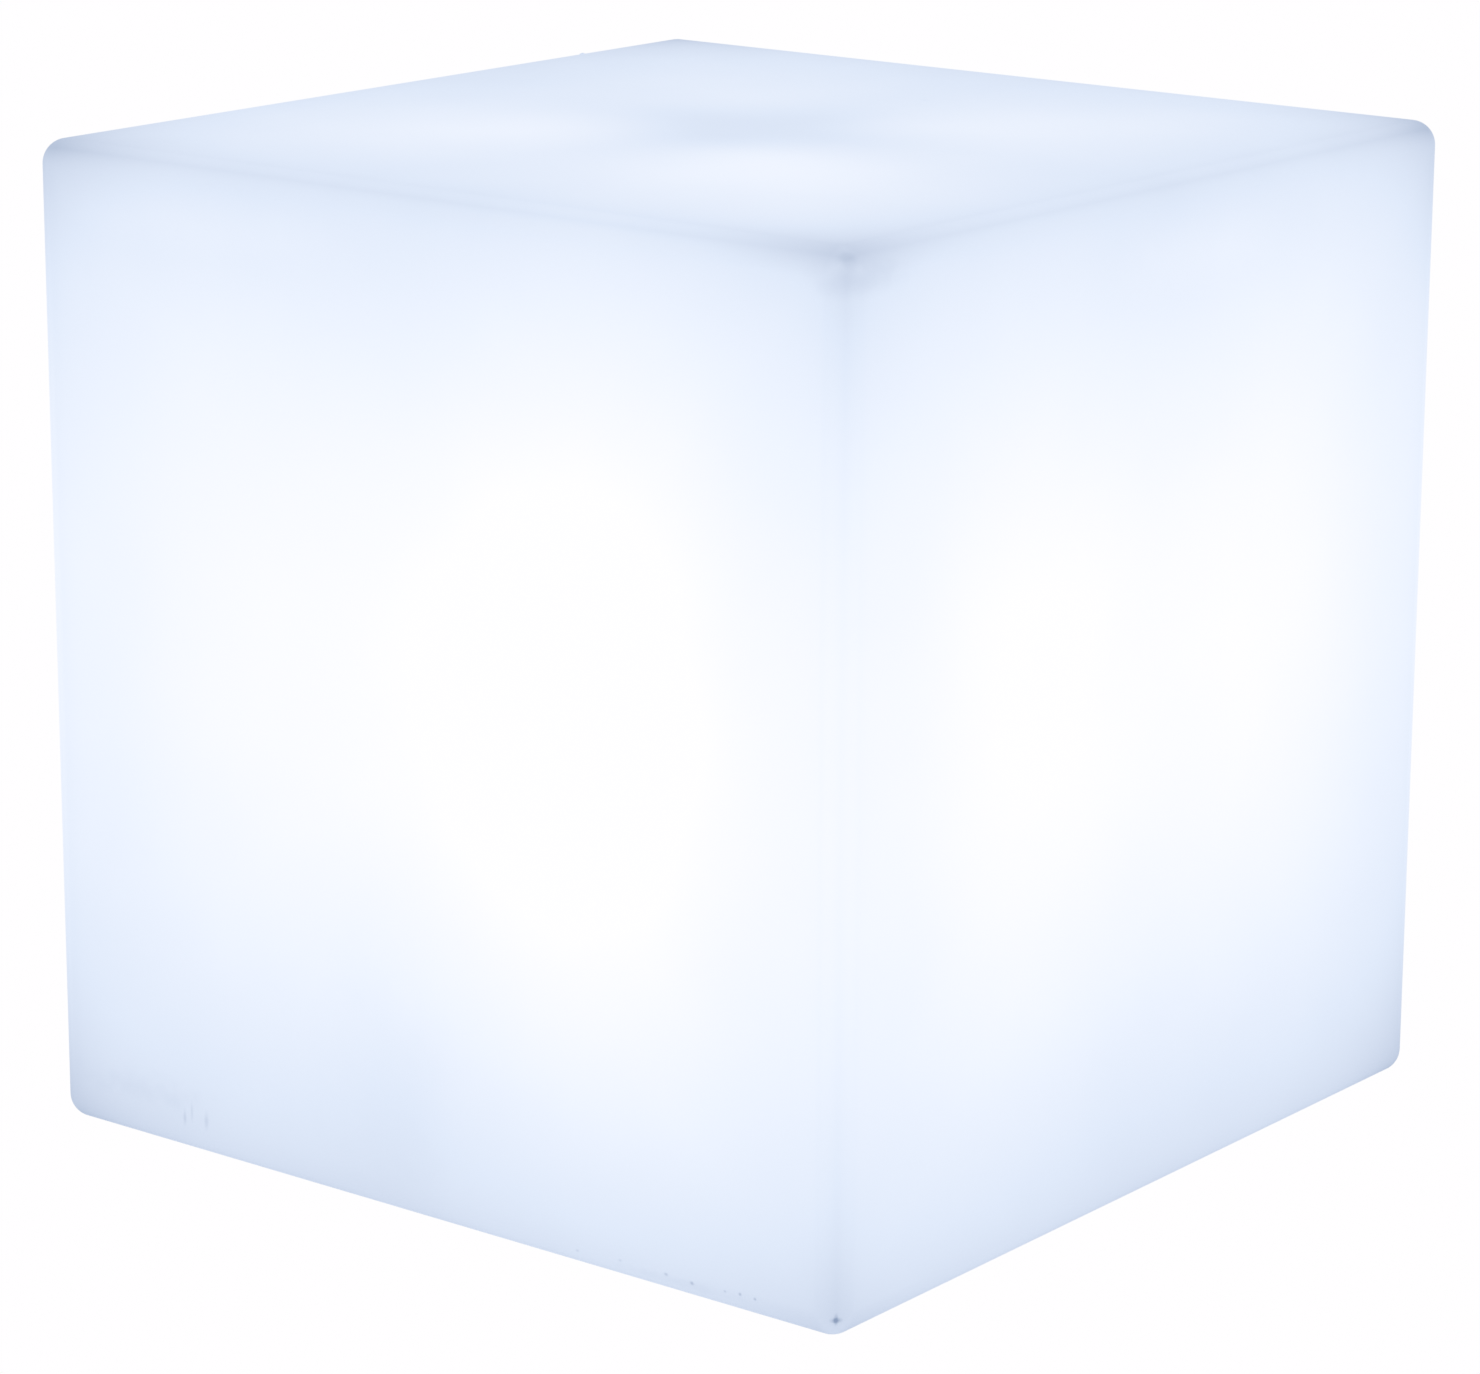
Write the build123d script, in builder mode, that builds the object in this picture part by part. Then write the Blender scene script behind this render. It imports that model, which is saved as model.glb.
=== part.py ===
from build123d import *
from math import asin, degrees, pi
import os

# A self-lit garden cube: one hollow moulded shell, and a lamp module that locks into its base with a
# twist. Lengths are millimetres and angles degrees. Z is up, and the origin is on the ground under the
# middle of the cube.

# Cube shell
cube_side = 400.0
cube_height = 404.0
edge_radius = 10.0
shell_wall = 4.0
least_inner_radius = 1.0

# Feet, pressed into dimples in the underside
foot_proud = 1.5
foot_inset = 38.0
foot_radius = 14.0
foot_dimple_depth = 2.5
foot_stem_radius = 3.5
foot_stem_length = 7.0
foot_fit = 0.05
foot_edge_radius = 1.0

# Round pan in the underside, and the opening in its roof
recess_depth = 45.0
recess_gap = 7.0
recess_mouth_radius = 3.0
recess_root_radius = 3.0
weld_gap = 0.05

# Lamp module tub
tub_radius = 67.5
tub_wall = 3.0
flange_reach = 24.5
flange_thickness = 7.0
flange_edge = 1.0

# Collar that carries the module, and its fixing
collar_thickness = 6.0
collar_bore_gap = 4.5
collar_rim = 8.0
collar_gasket_thickness = 1.5
backing_thickness = 4.0
spigot_gap = 0.3
spigot_wall = 2.7
spigot_margin = 1.0
collar_screw_count = 8
collar_screw_radius = 2.0
collar_screw_head_radius = 4.0
collar_screw_head_height = 2.6
collar_screw_gap = 4.0
screw_tip = 1.0
screw_fit = 0.05

# Twist lock
twist_angle = 35.0
lug_count = 3
lug_width = 28.0
lug_height = 3.4
lug_gap = 0.3
ledge_thickness = 3.0
ledge_gap = 0.8
lug_lift = 0.1
lug_slot_margin = 2.0
stop_width = 3.0
stop_gap = 0.3

# Module seal
flange_gap = 0.3
o_ring_reach = 14.5
o_ring_width = 3.2
o_ring_groove_depth = 2.4
o_ring_running_gap = 0.05
o_ring_side_gap = 0.2

# Base cover
cover_thickness = 4.0
cover_gasket_thickness = 1.0
cover_gasket_edge = 1.5
cover_edge = 1.0
cover_screw_count = 6
cover_screw_reach = 6.5
cover_screw_radius = 1.5
cover_screw_head_radius = 2.9
cover_screw_head_height = 2.0
cover_screw_sink = 2.2
cover_screw_bite = 4.5
counterbore_gap = 0.5

# Finger wells, either side of a grip bar
well_length = 52.0
well_width = 18.0
well_depth = 18.0
well_wall = 2.5
grip_width = 16.0

# Control board
board_gap = 4.5
board_thickness = 1.6
board_standoff = 12.0
board_window_gap = 2.5
board_boss_radius = 4.0
board_boss_inset = 6.3
board_boss_turn = 45.0
board_boss_count = 4
board_screw_radius = 1.25
board_screw_head_radius = 2.4
board_screw_head_height = 1.6
board_screw_depth = 8.0

# Parts on the control board
component_step = 17.0
coil_radius = 6.0
coil_height = 5.0
capacitor_radius = 4.0
capacitor_height = 8.0
driver_width = 7.0
driver_height = 1.5

# Push button and switch
control_inset = 14.0
button_radius = 7.0
button_running_gap = 0.3
button_proud = 0.5
button_flange_radius = 9.0
button_flange_height = 1.5
button_flange_gap = 0.1
button_stem_radius = 3.0
button_edge = 0.6
button_travel = 1.5
button_seal_width = 1.2
button_seal_height = 1.6
button_seal_gap = 0.05
switch_width = 12.0
switch_height = 7.0
plunger_radius = 1.75
plunger_proud = 2.5
plunger_depth = 2.5
plunger_gap = 0.1

# Charge light and breather
light_pipe_place = 18.0
light_pipe_radius = 1.5
light_pipe_head_radius = 2.5
light_pipe_head_height = 1.2
light_pipe_gap = 0.3
status_led_width = 3.0
status_led_height = 1.1
vent_place = -24.0
vent_radius = 3.0
vent_head_radius = 5.0
vent_head_height = 1.2
vent_length = 6.0

# Charge socket
socket_nose_radius = 4.4
socket_body_width = 11.0
socket_bore_radius = 3.15
socket_bore_depth = 9.5
socket_pin_radius = 1.0
socket_pin_setback = 2.0
socket_fit = 0.15

# Flap over the charge socket
flap_reach = 11.0
flap_length = 20.0
flap_width = 16.0
flap_neck_width = 10.0
flap_neck_length = 4.0
flap_thickness = 2.4
flap_recess_depth = 1.6
flap_gap = 0.1
flap_side_gap = 0.4
flap_drop = 0.5
flap_barrel_radius = 1.8
flap_stub_radius = 2.85
flap_stub_height = 1.5
flap_stub_edge = 0.5
flap_tab_length = 3.0
flap_tab_height = 1.0
hinge_pin_radius = 0.9
hinge_pin_fit = 0.05
ear_width = 3.0
ear_radius = 1.9
ear_gap = 0.3

# Battery
cell_count = 3
cell_radius = 9.2
cell_length = 65.2
cell_spacing = 1.6
cell_gap = 0.05
cradle_web = 4.8
cradle_wall = 3.0
cradle_rail = 7.0
contact_thickness = 0.5
contact_inset = 1.2
contact_height = 12.0
clamp_width = 14.0
clamp_thickness = 2.5
clamp_clearance = 5.7
clamp_screw_radius = 1.25
clamp_screw_head_radius = 2.4
clamp_screw_head_height = 1.6
clamp_screw_length = 9.0
cradle_tab_inset = 8.1
cradle_tab_reach = 9.0
cradle_tab_width = 9.0
cradle_tab_thickness = 3.0
cradle_screw_skin = 0.5

# Leads
lead_radius = 1.0
lead_bend = 8.0
lead_hole_gap = 0.3
lead_inset = 10.0
lead_place_y = 5.0
lamp_lead_radius = 1.5
lamp_lead_bend = 11.0
lead_channel_width = 6.0
lead_channel_depth = 6.0
lead_slot_length = 12.0
lead_slot_shift = -2.5
connector_width = 8.0
connector_height = 6.0

# Mast
mast_width = 32.0
mast_wall = 2.5
mast_foot_rim = 5.3
mast_foot_thickness = 4.0
mast_plug_height = 14.0
mast_plug_wall = 2.5
mast_plug_fit = 0.05
mast_screw_reach = 7.7
mast_screw_radius = 1.5
mast_screw_head_radius = 2.9
mast_screw_head_height = 2.0

# Lamp boards
board_sides = 4
board_turn = 45.0
lamp_board_rise = 16.0
lamp_board_length = 216.0
lamp_board_margin = 4.3
lamp_board_width = 24.0
lamp_board_thickness = 1.6
thermal_pad_thickness = 0.5
chip_count = 18
chip_gap = 1.3
chip_width = 5.0
chip_height = 1.6
lamp_screw_inset = 4.0
lamp_screw_radius = 1.25
lamp_screw_head_radius = 2.2
lamp_screw_head_height = 1.2
lamp_screw_tip = 1.5

# Mast head
head_board_inset = 0.5
head_board_thickness = 1.6
receiver_radius = 2.5
receiver_height = 3.0
cap_skirt = 5.0
cap_wall = 2.0
cap_gap = 0.1
cap_room = 5.0
cap_post_width = 4.0
cap_window_radius = 3.2

# Clear lamp cover
lamp_cover_gap = 2.5
lamp_cover_wall = 2.5
lamp_cover_headroom = 3.0
lamp_cover_flange_reach = 12.0
lamp_cover_flange_thickness = 3.0
lamp_cover_top_radius = 8.0
lamp_gasket_thickness = 1.2
lamp_ring_thickness = 3.0
lamp_ring_gap = 0.3
lamp_ring_screw_count = 6
lamp_ring_screw_reach = 6.5
lamp_ring_screw_radius = 1.5
lamp_ring_screw_head_radius = 2.9
lamp_ring_screw_head_height = 2.0
roof_skin = 0.2

# Heights that follow from the sizes above
shell_low = foot_proud
shell_middle = shell_low + cube_height / 2
roof_low = shell_low + recess_depth
roof_high = roof_low + shell_wall
backing_high = roof_high + backing_thickness
collar_high = roof_low - collar_gasket_thickness
collar_low = collar_high - collar_thickness
ledge_high = collar_high + ledge_thickness
lug_low = ledge_high + lug_lift
lug_high = lug_low + lug_height
spigot_high = max(lug_high, roof_high) + spigot_margin
flange_high = collar_low - flange_gap
flange_low = flange_high - flange_thickness
cover_high = flange_low - cover_gasket_thickness
cover_low = cover_high - cover_thickness
board_low = cover_high + board_standoff
board_high = board_low + board_thickness
connector_high = board_high + connector_height
clamp_low = board_high + max(capacitor_height, connector_height) + clamp_clearance
cell_low = clamp_low + clamp_thickness
cell_height = cell_low + cell_radius
tub_roof_low = cell_height + cell_radius + cradle_web
tub_high = tub_roof_low + tub_wall
foot_plate_high = tub_high + mast_foot_thickness
lamp_board_low = foot_plate_high + lamp_board_rise
lamp_board_high = lamp_board_low + lamp_board_length
lamp_centre_height = (lamp_board_low + lamp_board_high) / 2
mast_high = lamp_board_high + lamp_board_margin + cap_skirt
head_board_high = mast_high + head_board_thickness
cap_roof_low = head_board_high + cap_room
cap_high = cap_roof_low + cap_wall
lamp_cover_roof_low = cap_high + lamp_cover_headroom
lamp_cover_high = lamp_cover_roof_low + lamp_cover_wall
lamp_flange_low = tub_high + lamp_gasket_thickness
lamp_flange_high = lamp_flange_low + lamp_cover_flange_thickness
lamp_ring_low = lamp_flange_high
lamp_ring_high = lamp_ring_low + lamp_ring_thickness

# Radii and places that follow
inner_edge_radius = max(edge_radius - shell_wall, least_inner_radius)
foot_place = cube_side / 2 - foot_inset
foot_boss_height = foot_dimple_depth + foot_stem_length + shell_wall
flange_radius = tub_radius + flange_reach
collar_screw_circle = flange_radius + collar_screw_gap + collar_screw_head_radius
collar_radius = collar_screw_circle + collar_rim
recess_radius = collar_radius + recess_gap
pan_radius = recess_radius + shell_wall
collar_bore_radius = tub_radius + collar_bore_gap
spigot_radius = collar_bore_radius + spigot_wall
opening_radius = spigot_radius + spigot_gap
lug_radius = collar_bore_radius - lug_gap
ledge_radius = tub_radius + ledge_gap
ledge_middle = (ledge_radius + collar_bore_radius) / 2
ledge_width = collar_bore_radius - ledge_radius
lug_slot_width = lug_width + 2 * lug_slot_margin
stop_angle = degrees(asin((lug_width / 2 + stop_gap + stop_width / 2) / ledge_radius))
o_ring_radius = tub_radius + o_ring_reach
o_ring_height = o_ring_groove_depth + flange_gap - o_ring_running_gap
tub_bore_radius = tub_radius - tub_wall
gasket_inner_radius = tub_bore_radius + cover_gasket_edge
cover_screw_circle = tub_radius + cover_screw_reach
board_radius = tub_bore_radius - board_gap
board_boss_circle = board_radius - board_boss_inset
control_place = board_radius - control_inset
button_place = -control_place
socket_place = control_place
component_row = control_place
lead_place_x = board_radius - lead_inset
flap_hinge_place = socket_place - flap_reach
flap_pocket_low = flap_hinge_place - flap_barrel_radius - 2 * flap_side_gap
flap_pocket_high = flap_hinge_place + flap_length + flap_side_gap
well_place = (grip_width + well_width) / 2
well_outer_y = well_place + well_width / 2 + well_wall
board_window_x = well_length + 2 * (well_wall + board_window_gap)
board_window_y = 2 * (well_outer_y + board_window_gap)
button_stem_high = board_low - switch_height - plunger_proud
flap_roof = cover_low + flap_recess_depth
flap_high = flap_roof - flap_gap
flap_low = flap_high - flap_thickness
hinge_height = cover_low - flap_drop
socket_nose_low = flap_roof + flap_side_gap
cell_end = cell_length / 2
cell_pitch = 2 * cell_radius + cell_spacing
contact_width = (cell_count - 1) * cell_pitch + 2 * (cell_radius - contact_inset)
contact_end = cell_end + contact_thickness
cradle_end = contact_end + cradle_wall
cradle_side = (cell_count - 1) * cell_pitch / 2 + cell_radius + cell_gap + cradle_rail
rail_place = cradle_side - cradle_rail / 2
cradle_tab_x = cradle_end - cradle_tab_inset
cradle_tab_y = cradle_side + cradle_tab_reach / 2
mast_half = mast_width / 2
mast_screw_circle = mast_half + mast_screw_reach
mast_foot_radius = mast_screw_circle + mast_foot_rim
mast_bore = mast_width - 2 * mast_wall
mast_plug_width = mast_bore - 2 * mast_plug_fit
mast_plug_bore = mast_plug_width - 2 * mast_plug_wall
board_seat = mast_half + thermal_pad_thickness
chip_seat = board_seat + lamp_board_thickness
chip_inset = lamp_screw_inset + lamp_screw_head_radius + chip_gap + chip_width / 2
chip_pitch = (lamp_board_length - 2 * chip_inset) / (chip_count - 1)
head_board_width = mast_width - 2 * head_board_inset
cap_bore = mast_width + 2 * cap_gap
cap_width = cap_bore + 2 * cap_wall
cap_post_place = (head_board_width - cap_post_width) / 2
lamp_cover_bore = mast_foot_radius + lamp_cover_gap
lamp_cover_radius = lamp_cover_bore + lamp_cover_wall
lamp_cover_flange_radius = lamp_cover_radius + lamp_cover_flange_reach
lamp_ring_screw_circle = lamp_cover_radius + lamp_ring_screw_reach
lamp_lead_place_y = cell_pitch / 2
lead_height = tub_roof_low - lead_channel_depth / 2
standing = (Align.CENTER, Align.CENTER, Align.MIN)


def disc(radius, low, high, x=0.0, y=0.0, mode=Mode.ADD):
    """Add or cut an upright cylinder between two heights."""
    with Locations((x, y, low)):
        Cylinder(radius, high - low, align=standing, mode=mode)


def block(width, depth, low, high, x=0.0, y=0.0, mode=Mode.ADD):
    """Add or cut an upright box between two heights."""
    with Locations((x, y, low)):
        Box(width, depth, high - low, align=standing, mode=mode)


def ring(inner, outer, low, high):
    """Add a flat ring between two heights."""
    disc(outer, low, high)
    disc(inner, low, high, mode=Mode.SUBTRACT)


def screw_up(radius, head_radius, head_height, seat, tip):
    """Add a screw whose head hangs under its seat and whose tip points up."""
    disc(radius, seat, tip)
    disc(head_radius, seat - head_height, seat)


def screw_down(radius, head_radius, head_height, seat, tip):
    """Add a screw whose head stands on its seat and whose tip points down."""
    disc(radius, tip, seat)
    disc(head_radius, seat, seat + head_height)


def square_turned(width, low, high, mode=Mode.ADD):
    """Add or cut an upright square bar that faces the cube's corners."""
    with PolarLocations(0, 1, start_angle=board_turn):
        block(width, width, low, high, mode=mode)


def save(solid, label):
    """Label a finished piece and write its file."""
    solid.label = label
    export_step(solid, "parts/" + label + ".step")


def report_lead(label, route, bends, radius, volume):
    """Print a lead's bends and compare its volume with its section times its length."""
    section = pi * radius**2
    print(label, "bend radii", bends, "length", round(route.length, 2))
    print(label, "volume ratio", round(volume / (section * route.length), 4))


os.makedirs("parts", exist_ok=True)

# Cube shell: hollow, with rounded edges, a round opening below and a boss over each foot
with BuildPart() as cube_core:
    with Locations((0, 0, shell_middle)):
        Box(cube_side - 2 * shell_wall, cube_side - 2 * shell_wall, cube_height - 2 * shell_wall)
    fillet(cube_core.edges(), inner_edge_radius)

with BuildPart() as cube_shell:
    with Locations((0, 0, shell_middle)):
        Box(cube_side, cube_side, cube_height)
    fillet(cube_shell.edges(), edge_radius)
    add(cube_core.part, mode=Mode.SUBTRACT)
    with GridLocations(2 * foot_place, 2 * foot_place, 2, 2):
        disc(foot_radius + shell_wall, shell_low + shell_wall / 2, shell_low + foot_boss_height)
        disc(foot_radius + foot_fit, shell_low, shell_low + foot_dimple_depth, mode=Mode.SUBTRACT)
        disc(
            foot_stem_radius + foot_fit,
            shell_low,
            shell_low + foot_dimple_depth + foot_stem_length + foot_fit,
            mode=Mode.SUBTRACT,
        )
    disc(pan_radius + weld_gap, shell_low, shell_low + shell_wall, mode=Mode.SUBTRACT)
save(cube_shell.part, "cube_shell")

# Pan welded into the opening below: a round recess whose roof carries the collar
with BuildPart() as recess_void:
    disc(recess_radius, shell_low - shell_wall, roof_low)
    fillet(recess_void.edges().group_by(Axis.Z)[-1], recess_root_radius)

with BuildPart() as base_pan:
    disc(pan_radius, shell_low, roof_high)
    fillet(base_pan.edges().group_by(Axis.Z)[-1], recess_root_radius + shell_wall)
    add(recess_void.part, mode=Mode.SUBTRACT)
    disc(opening_radius, roof_low, roof_high, mode=Mode.SUBTRACT)
    with PolarLocations(collar_screw_circle, collar_screw_count):
        disc(collar_screw_radius + screw_fit, roof_low, roof_high, mode=Mode.SUBTRACT)
    mouth = base_pan.edges().filter_by(GeomType.CIRCLE).group_by(Axis.Z)[0].sort_by(SortBy.RADIUS)[0]
    fillet(mouth, recess_mouth_radius)
save(base_pan.part, "base_pan")

# Rubber feet: a round pad with a stem that is pressed up into the boss
with BuildPart() as rubber_feet:
    with GridLocations(2 * foot_place, 2 * foot_place, 2, 2):
        disc(foot_radius, 0.0, shell_low + foot_dimple_depth)
        disc(foot_stem_radius, shell_low, shell_low + foot_dimple_depth + foot_stem_length)
    chamfer(rubber_feet.edges().group_by(Axis.Z)[0], foot_edge_radius)
save(rubber_feet.part, "rubber_feet")

# Backing ring above the pan's roof: takes the collar's screws
with BuildPart() as backing_ring:
    ring(spigot_radius + spigot_gap, collar_radius, roof_high, backing_high)
    with PolarLocations(collar_screw_circle, collar_screw_count):
        disc(collar_screw_radius + screw_fit, roof_high, backing_high, mode=Mode.SUBTRACT)
save(backing_ring.part, "backing_ring")

# Gasket between the collar and the pan's roof
with BuildPart() as collar_gasket:
    ring(opening_radius, collar_radius, collar_high, roof_low)
    with PolarLocations(collar_screw_circle, collar_screw_count):
        disc(collar_screw_radius + screw_fit, collar_high, roof_low, mode=Mode.SUBTRACT)
save(collar_gasket.part, "collar_gasket")

# Mounting collar: a flange, a spigot through the opening, and a slotted ledge that holds the lugs
with BuildPart() as lock_ledge:
    ring(ledge_radius, collar_bore_radius + spigot_gap, collar_high, ledge_high)
    with PolarLocations(ledge_middle, lug_count, start_angle=-twist_angle):
        block(2 * ledge_width, lug_slot_width, collar_high, ledge_high, mode=Mode.SUBTRACT)

with BuildPart() as mounting_collar:
    ring(collar_bore_radius, collar_radius, collar_low, collar_high)
    disc(spigot_radius, collar_high, spigot_high)
    disc(collar_bore_radius, collar_high, spigot_high, mode=Mode.SUBTRACT)
    add(lock_ledge.part)
    for angle in (stop_angle, -twist_angle - stop_angle):
        with PolarLocations(ledge_middle + spigot_gap, lug_count, start_angle=angle):
            block(ledge_width, stop_width, collar_high, lug_high)
    with PolarLocations(collar_screw_circle, collar_screw_count):
        disc(collar_screw_radius + screw_fit, collar_low, collar_high, mode=Mode.SUBTRACT)
save(mounting_collar.part, "mounting_collar")

with BuildPart() as collar_screws:
    with PolarLocations(collar_screw_circle, collar_screw_count):
        screw_up(
            collar_screw_radius,
            collar_screw_head_radius,
            collar_screw_head_height,
            collar_low,
            backing_high + screw_tip,
        )
save(collar_screws.part, "collar_screws")

# Tub of the lamp module: a sealed can with a wide flange below and three lock lugs on its wall
with BuildPart() as lock_lugs:
    with PolarLocations(tub_radius, lug_count):
        block(2 * collar_bore_gap, lug_width, lug_low, lug_high)
    disc(lug_radius, lug_low, lug_high, mode=Mode.INTERSECT)
    disc(tub_radius - tub_wall / 2, lug_low, lug_high, mode=Mode.SUBTRACT)

with BuildPart() as module_tub:
    disc(flange_radius, flange_low, flange_high)
    chamfer(module_tub.edges().group_by(Axis.Z)[-1], flange_edge)
    disc(tub_radius, flange_high, tub_high)
    disc(tub_bore_radius, flange_low, tub_roof_low, mode=Mode.SUBTRACT)
    add(lock_lugs.part)
    with BuildSketch(Plane.XY.offset(flange_high - o_ring_groove_depth)):
        Circle(o_ring_radius + o_ring_width / 2 + o_ring_side_gap)
        Circle(o_ring_radius - o_ring_width / 2 - o_ring_side_gap, mode=Mode.SUBTRACT)
    extrude(amount=o_ring_groove_depth, mode=Mode.SUBTRACT)
    with PolarLocations(cover_screw_circle, cover_screw_count):
        disc(
            cover_screw_radius + screw_fit,
            flange_low,
            flange_low + cover_screw_bite,
            mode=Mode.SUBTRACT,
        )
    with PolarLocations(lamp_ring_screw_circle, lamp_ring_screw_count):
        disc(lamp_ring_screw_radius + screw_fit, tub_roof_low, tub_high, mode=Mode.SUBTRACT)
    with PolarLocations(mast_screw_circle, board_sides, start_angle=board_turn):
        disc(mast_screw_radius + screw_fit, tub_roof_low, tub_high, mode=Mode.SUBTRACT)
    with GridLocations(2 * cradle_tab_x, 2 * cradle_tab_y, 2, 2):
        disc(
            clamp_screw_radius + screw_fit,
            tub_roof_low,
            tub_high - cradle_screw_skin + screw_fit,
            mode=Mode.SUBTRACT,
        )
    with BuildSketch(Plane.XY.offset(tub_roof_low)):
        with Locations((lead_slot_shift, lamp_lead_place_y)):
            SlotOverall(lead_slot_length, lead_channel_width)
    extrude(amount=tub_wall, mode=Mode.SUBTRACT)
save(module_tub.part, "module_tub")

# Sealing ring: an oval section squeezed between its groove and the collar
with BuildPart() as module_o_ring:
    with BuildSketch(Plane.XZ):
        with Locations((o_ring_radius, flange_high - o_ring_groove_depth + o_ring_height / 2)):
            Ellipse(o_ring_width / 2, o_ring_height / 2)
    revolve(axis=Axis.Z)
save(module_o_ring.part, "module_o_ring")

# Base cover: a round plate with finger wells, board bosses, a button hole and a hinge for the flap
with BuildPart() as base_cover:
    disc(flange_radius, cover_low, cover_high)
    chamfer(base_cover.edges().group_by(Axis.Z)[0], cover_edge)
    with BuildSketch(Plane.XY.offset(cover_high)):
        with Locations((0, well_place), (0, -well_place)):
            SlotOverall(well_length + 2 * well_wall, well_width + 2 * well_wall)
    extrude(amount=well_depth + well_wall - cover_thickness)
    with BuildSketch(Plane.XY.offset(cover_low)):
        with Locations((0, well_place), (0, -well_place)):
            SlotOverall(well_length, well_width)
    extrude(amount=well_depth, mode=Mode.SUBTRACT)
    with PolarLocations(board_boss_circle, board_boss_count, start_angle=board_boss_turn):
        disc(board_boss_radius, cover_high, board_low)
        disc(board_screw_radius + screw_fit, board_low - board_screw_depth, board_low, mode=Mode.SUBTRACT)
    with PolarLocations(cover_screw_circle, cover_screw_count):
        disc(cover_screw_radius + screw_fit, cover_low, cover_high, mode=Mode.SUBTRACT)
        disc(
            cover_screw_head_radius + counterbore_gap,
            cover_low,
            cover_low + cover_screw_sink,
            mode=Mode.SUBTRACT,
        )
    disc(button_radius + button_running_gap, cover_low, cover_high, y=button_place, mode=Mode.SUBTRACT)
    disc(
        button_radius + button_seal_gap + button_seal_width,
        cover_low + (cover_thickness - button_seal_height) / 2,
        cover_low + (cover_thickness + button_seal_height) / 2,
        y=button_place,
        mode=Mode.SUBTRACT,
    )
    disc(
        light_pipe_radius + screw_fit,
        cover_low,
        cover_high,
        x=light_pipe_place,
        y=button_place,
        mode=Mode.SUBTRACT,
    )
    disc(vent_radius + screw_fit, cover_low, cover_high, x=vent_place, y=button_place, mode=Mode.SUBTRACT)
    disc(socket_nose_radius + socket_fit, cover_low, cover_high, y=socket_place, mode=Mode.SUBTRACT)
    block(
        flap_width + 2 * flap_side_gap,
        flap_pocket_high - flap_pocket_low,
        cover_low,
        flap_roof,
        y=(flap_pocket_low + flap_pocket_high) / 2,
        mode=Mode.SUBTRACT,
    )
    for side in (-1, 1):
        ear_place = side * (flap_neck_width / 2 + ear_gap + ear_width / 2)
        block(ear_width, 2 * ear_radius, hinge_height, flap_roof, x=ear_place, y=flap_hinge_place)
        with Locations(Location((ear_place, flap_hinge_place, hinge_height), (0, 90, 0))):
            Cylinder(ear_radius, ear_width)
    with Locations(Location((0, flap_hinge_place, hinge_height), (0, 90, 0))):
        Cylinder(hinge_pin_radius + hinge_pin_fit, flap_width, mode=Mode.SUBTRACT)
save(base_cover.part, "base_cover")

with BuildPart() as cover_gasket:
    ring(gasket_inner_radius, flange_radius - cover_edge, cover_high, flange_low)
    with PolarLocations(cover_screw_circle, cover_screw_count):
        disc(cover_screw_radius + screw_fit, cover_high, flange_low, mode=Mode.SUBTRACT)
save(cover_gasket.part, "cover_gasket")

with BuildPart() as cover_screws:
    with PolarLocations(cover_screw_circle, cover_screw_count):
        screw_up(
            cover_screw_radius,
            cover_screw_head_radius,
            cover_screw_head_height,
            cover_low + cover_screw_sink,
            flange_low + cover_screw_bite - screw_fit,
        )
save(cover_screws.part, "cover_screws")

# Push button with its seal and the switch it works
with BuildPart() as power_button:
    disc(button_radius, cover_low - button_proud, cover_high + button_flange_gap, y=button_place)
    fillet(power_button.edges().group_by(Axis.Z)[0], button_edge)
    disc(
        button_flange_radius,
        cover_high + button_flange_gap,
        cover_high + button_flange_gap + button_flange_height,
        y=button_place,
    )
    disc(button_stem_radius, cover_high, button_stem_high, y=button_place)
save(power_button.part, "power_button")

with BuildPart() as button_seal:
    with Locations((0, button_place, cover_low + (cover_thickness - button_seal_height) / 2)):
        Cylinder(button_radius + button_seal_gap + button_seal_width, button_seal_height, align=standing)
        Cylinder(button_radius + button_seal_gap, button_seal_height, align=standing, mode=Mode.SUBTRACT)
save(button_seal.part, "button_seal")

with BuildPart() as switch_plunger:
    disc(plunger_radius, button_stem_high, button_stem_high + plunger_proud + plunger_depth, y=button_place)
save(switch_plunger.part, "switch_plunger")

with BuildPart() as push_switch:
    block(switch_width, switch_width, board_low - switch_height, board_low, y=button_place)
    disc(
        plunger_radius + plunger_gap,
        board_low - switch_height,
        board_low - switch_height + plunger_depth + button_travel + plunger_gap,
        y=button_place,
        mode=Mode.SUBTRACT,
    )
save(push_switch.part, "push_switch")

# Charge light: a lamp on the board and a clear rod that brings its light out
with BuildPart() as status_led:
    block(
        status_led_width,
        status_led_width,
        board_low - status_led_height,
        board_low,
        x=light_pipe_place,
        y=button_place,
    )
save(status_led.part, "status_led")

with BuildPart() as status_light_pipe:
    disc(
        light_pipe_radius,
        cover_low,
        board_low - status_led_height - light_pipe_gap,
        x=light_pipe_place,
        y=button_place,
    )
    disc(
        light_pipe_head_radius,
        cover_high,
        cover_high + light_pipe_head_height,
        x=light_pipe_place,
        y=button_place,
    )
save(status_light_pipe.part, "status_light_pipe")

with BuildPart() as breather_vent:
    disc(vent_radius, cover_low, cover_low + vent_length, x=vent_place, y=button_place)
    disc(vent_head_radius, cover_low - vent_head_height, cover_low, x=vent_place, y=button_place)
    fillet(breather_vent.edges().group_by(Axis.Z)[0], vent_head_height / 2)
save(breather_vent.part, "breather_vent")

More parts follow.
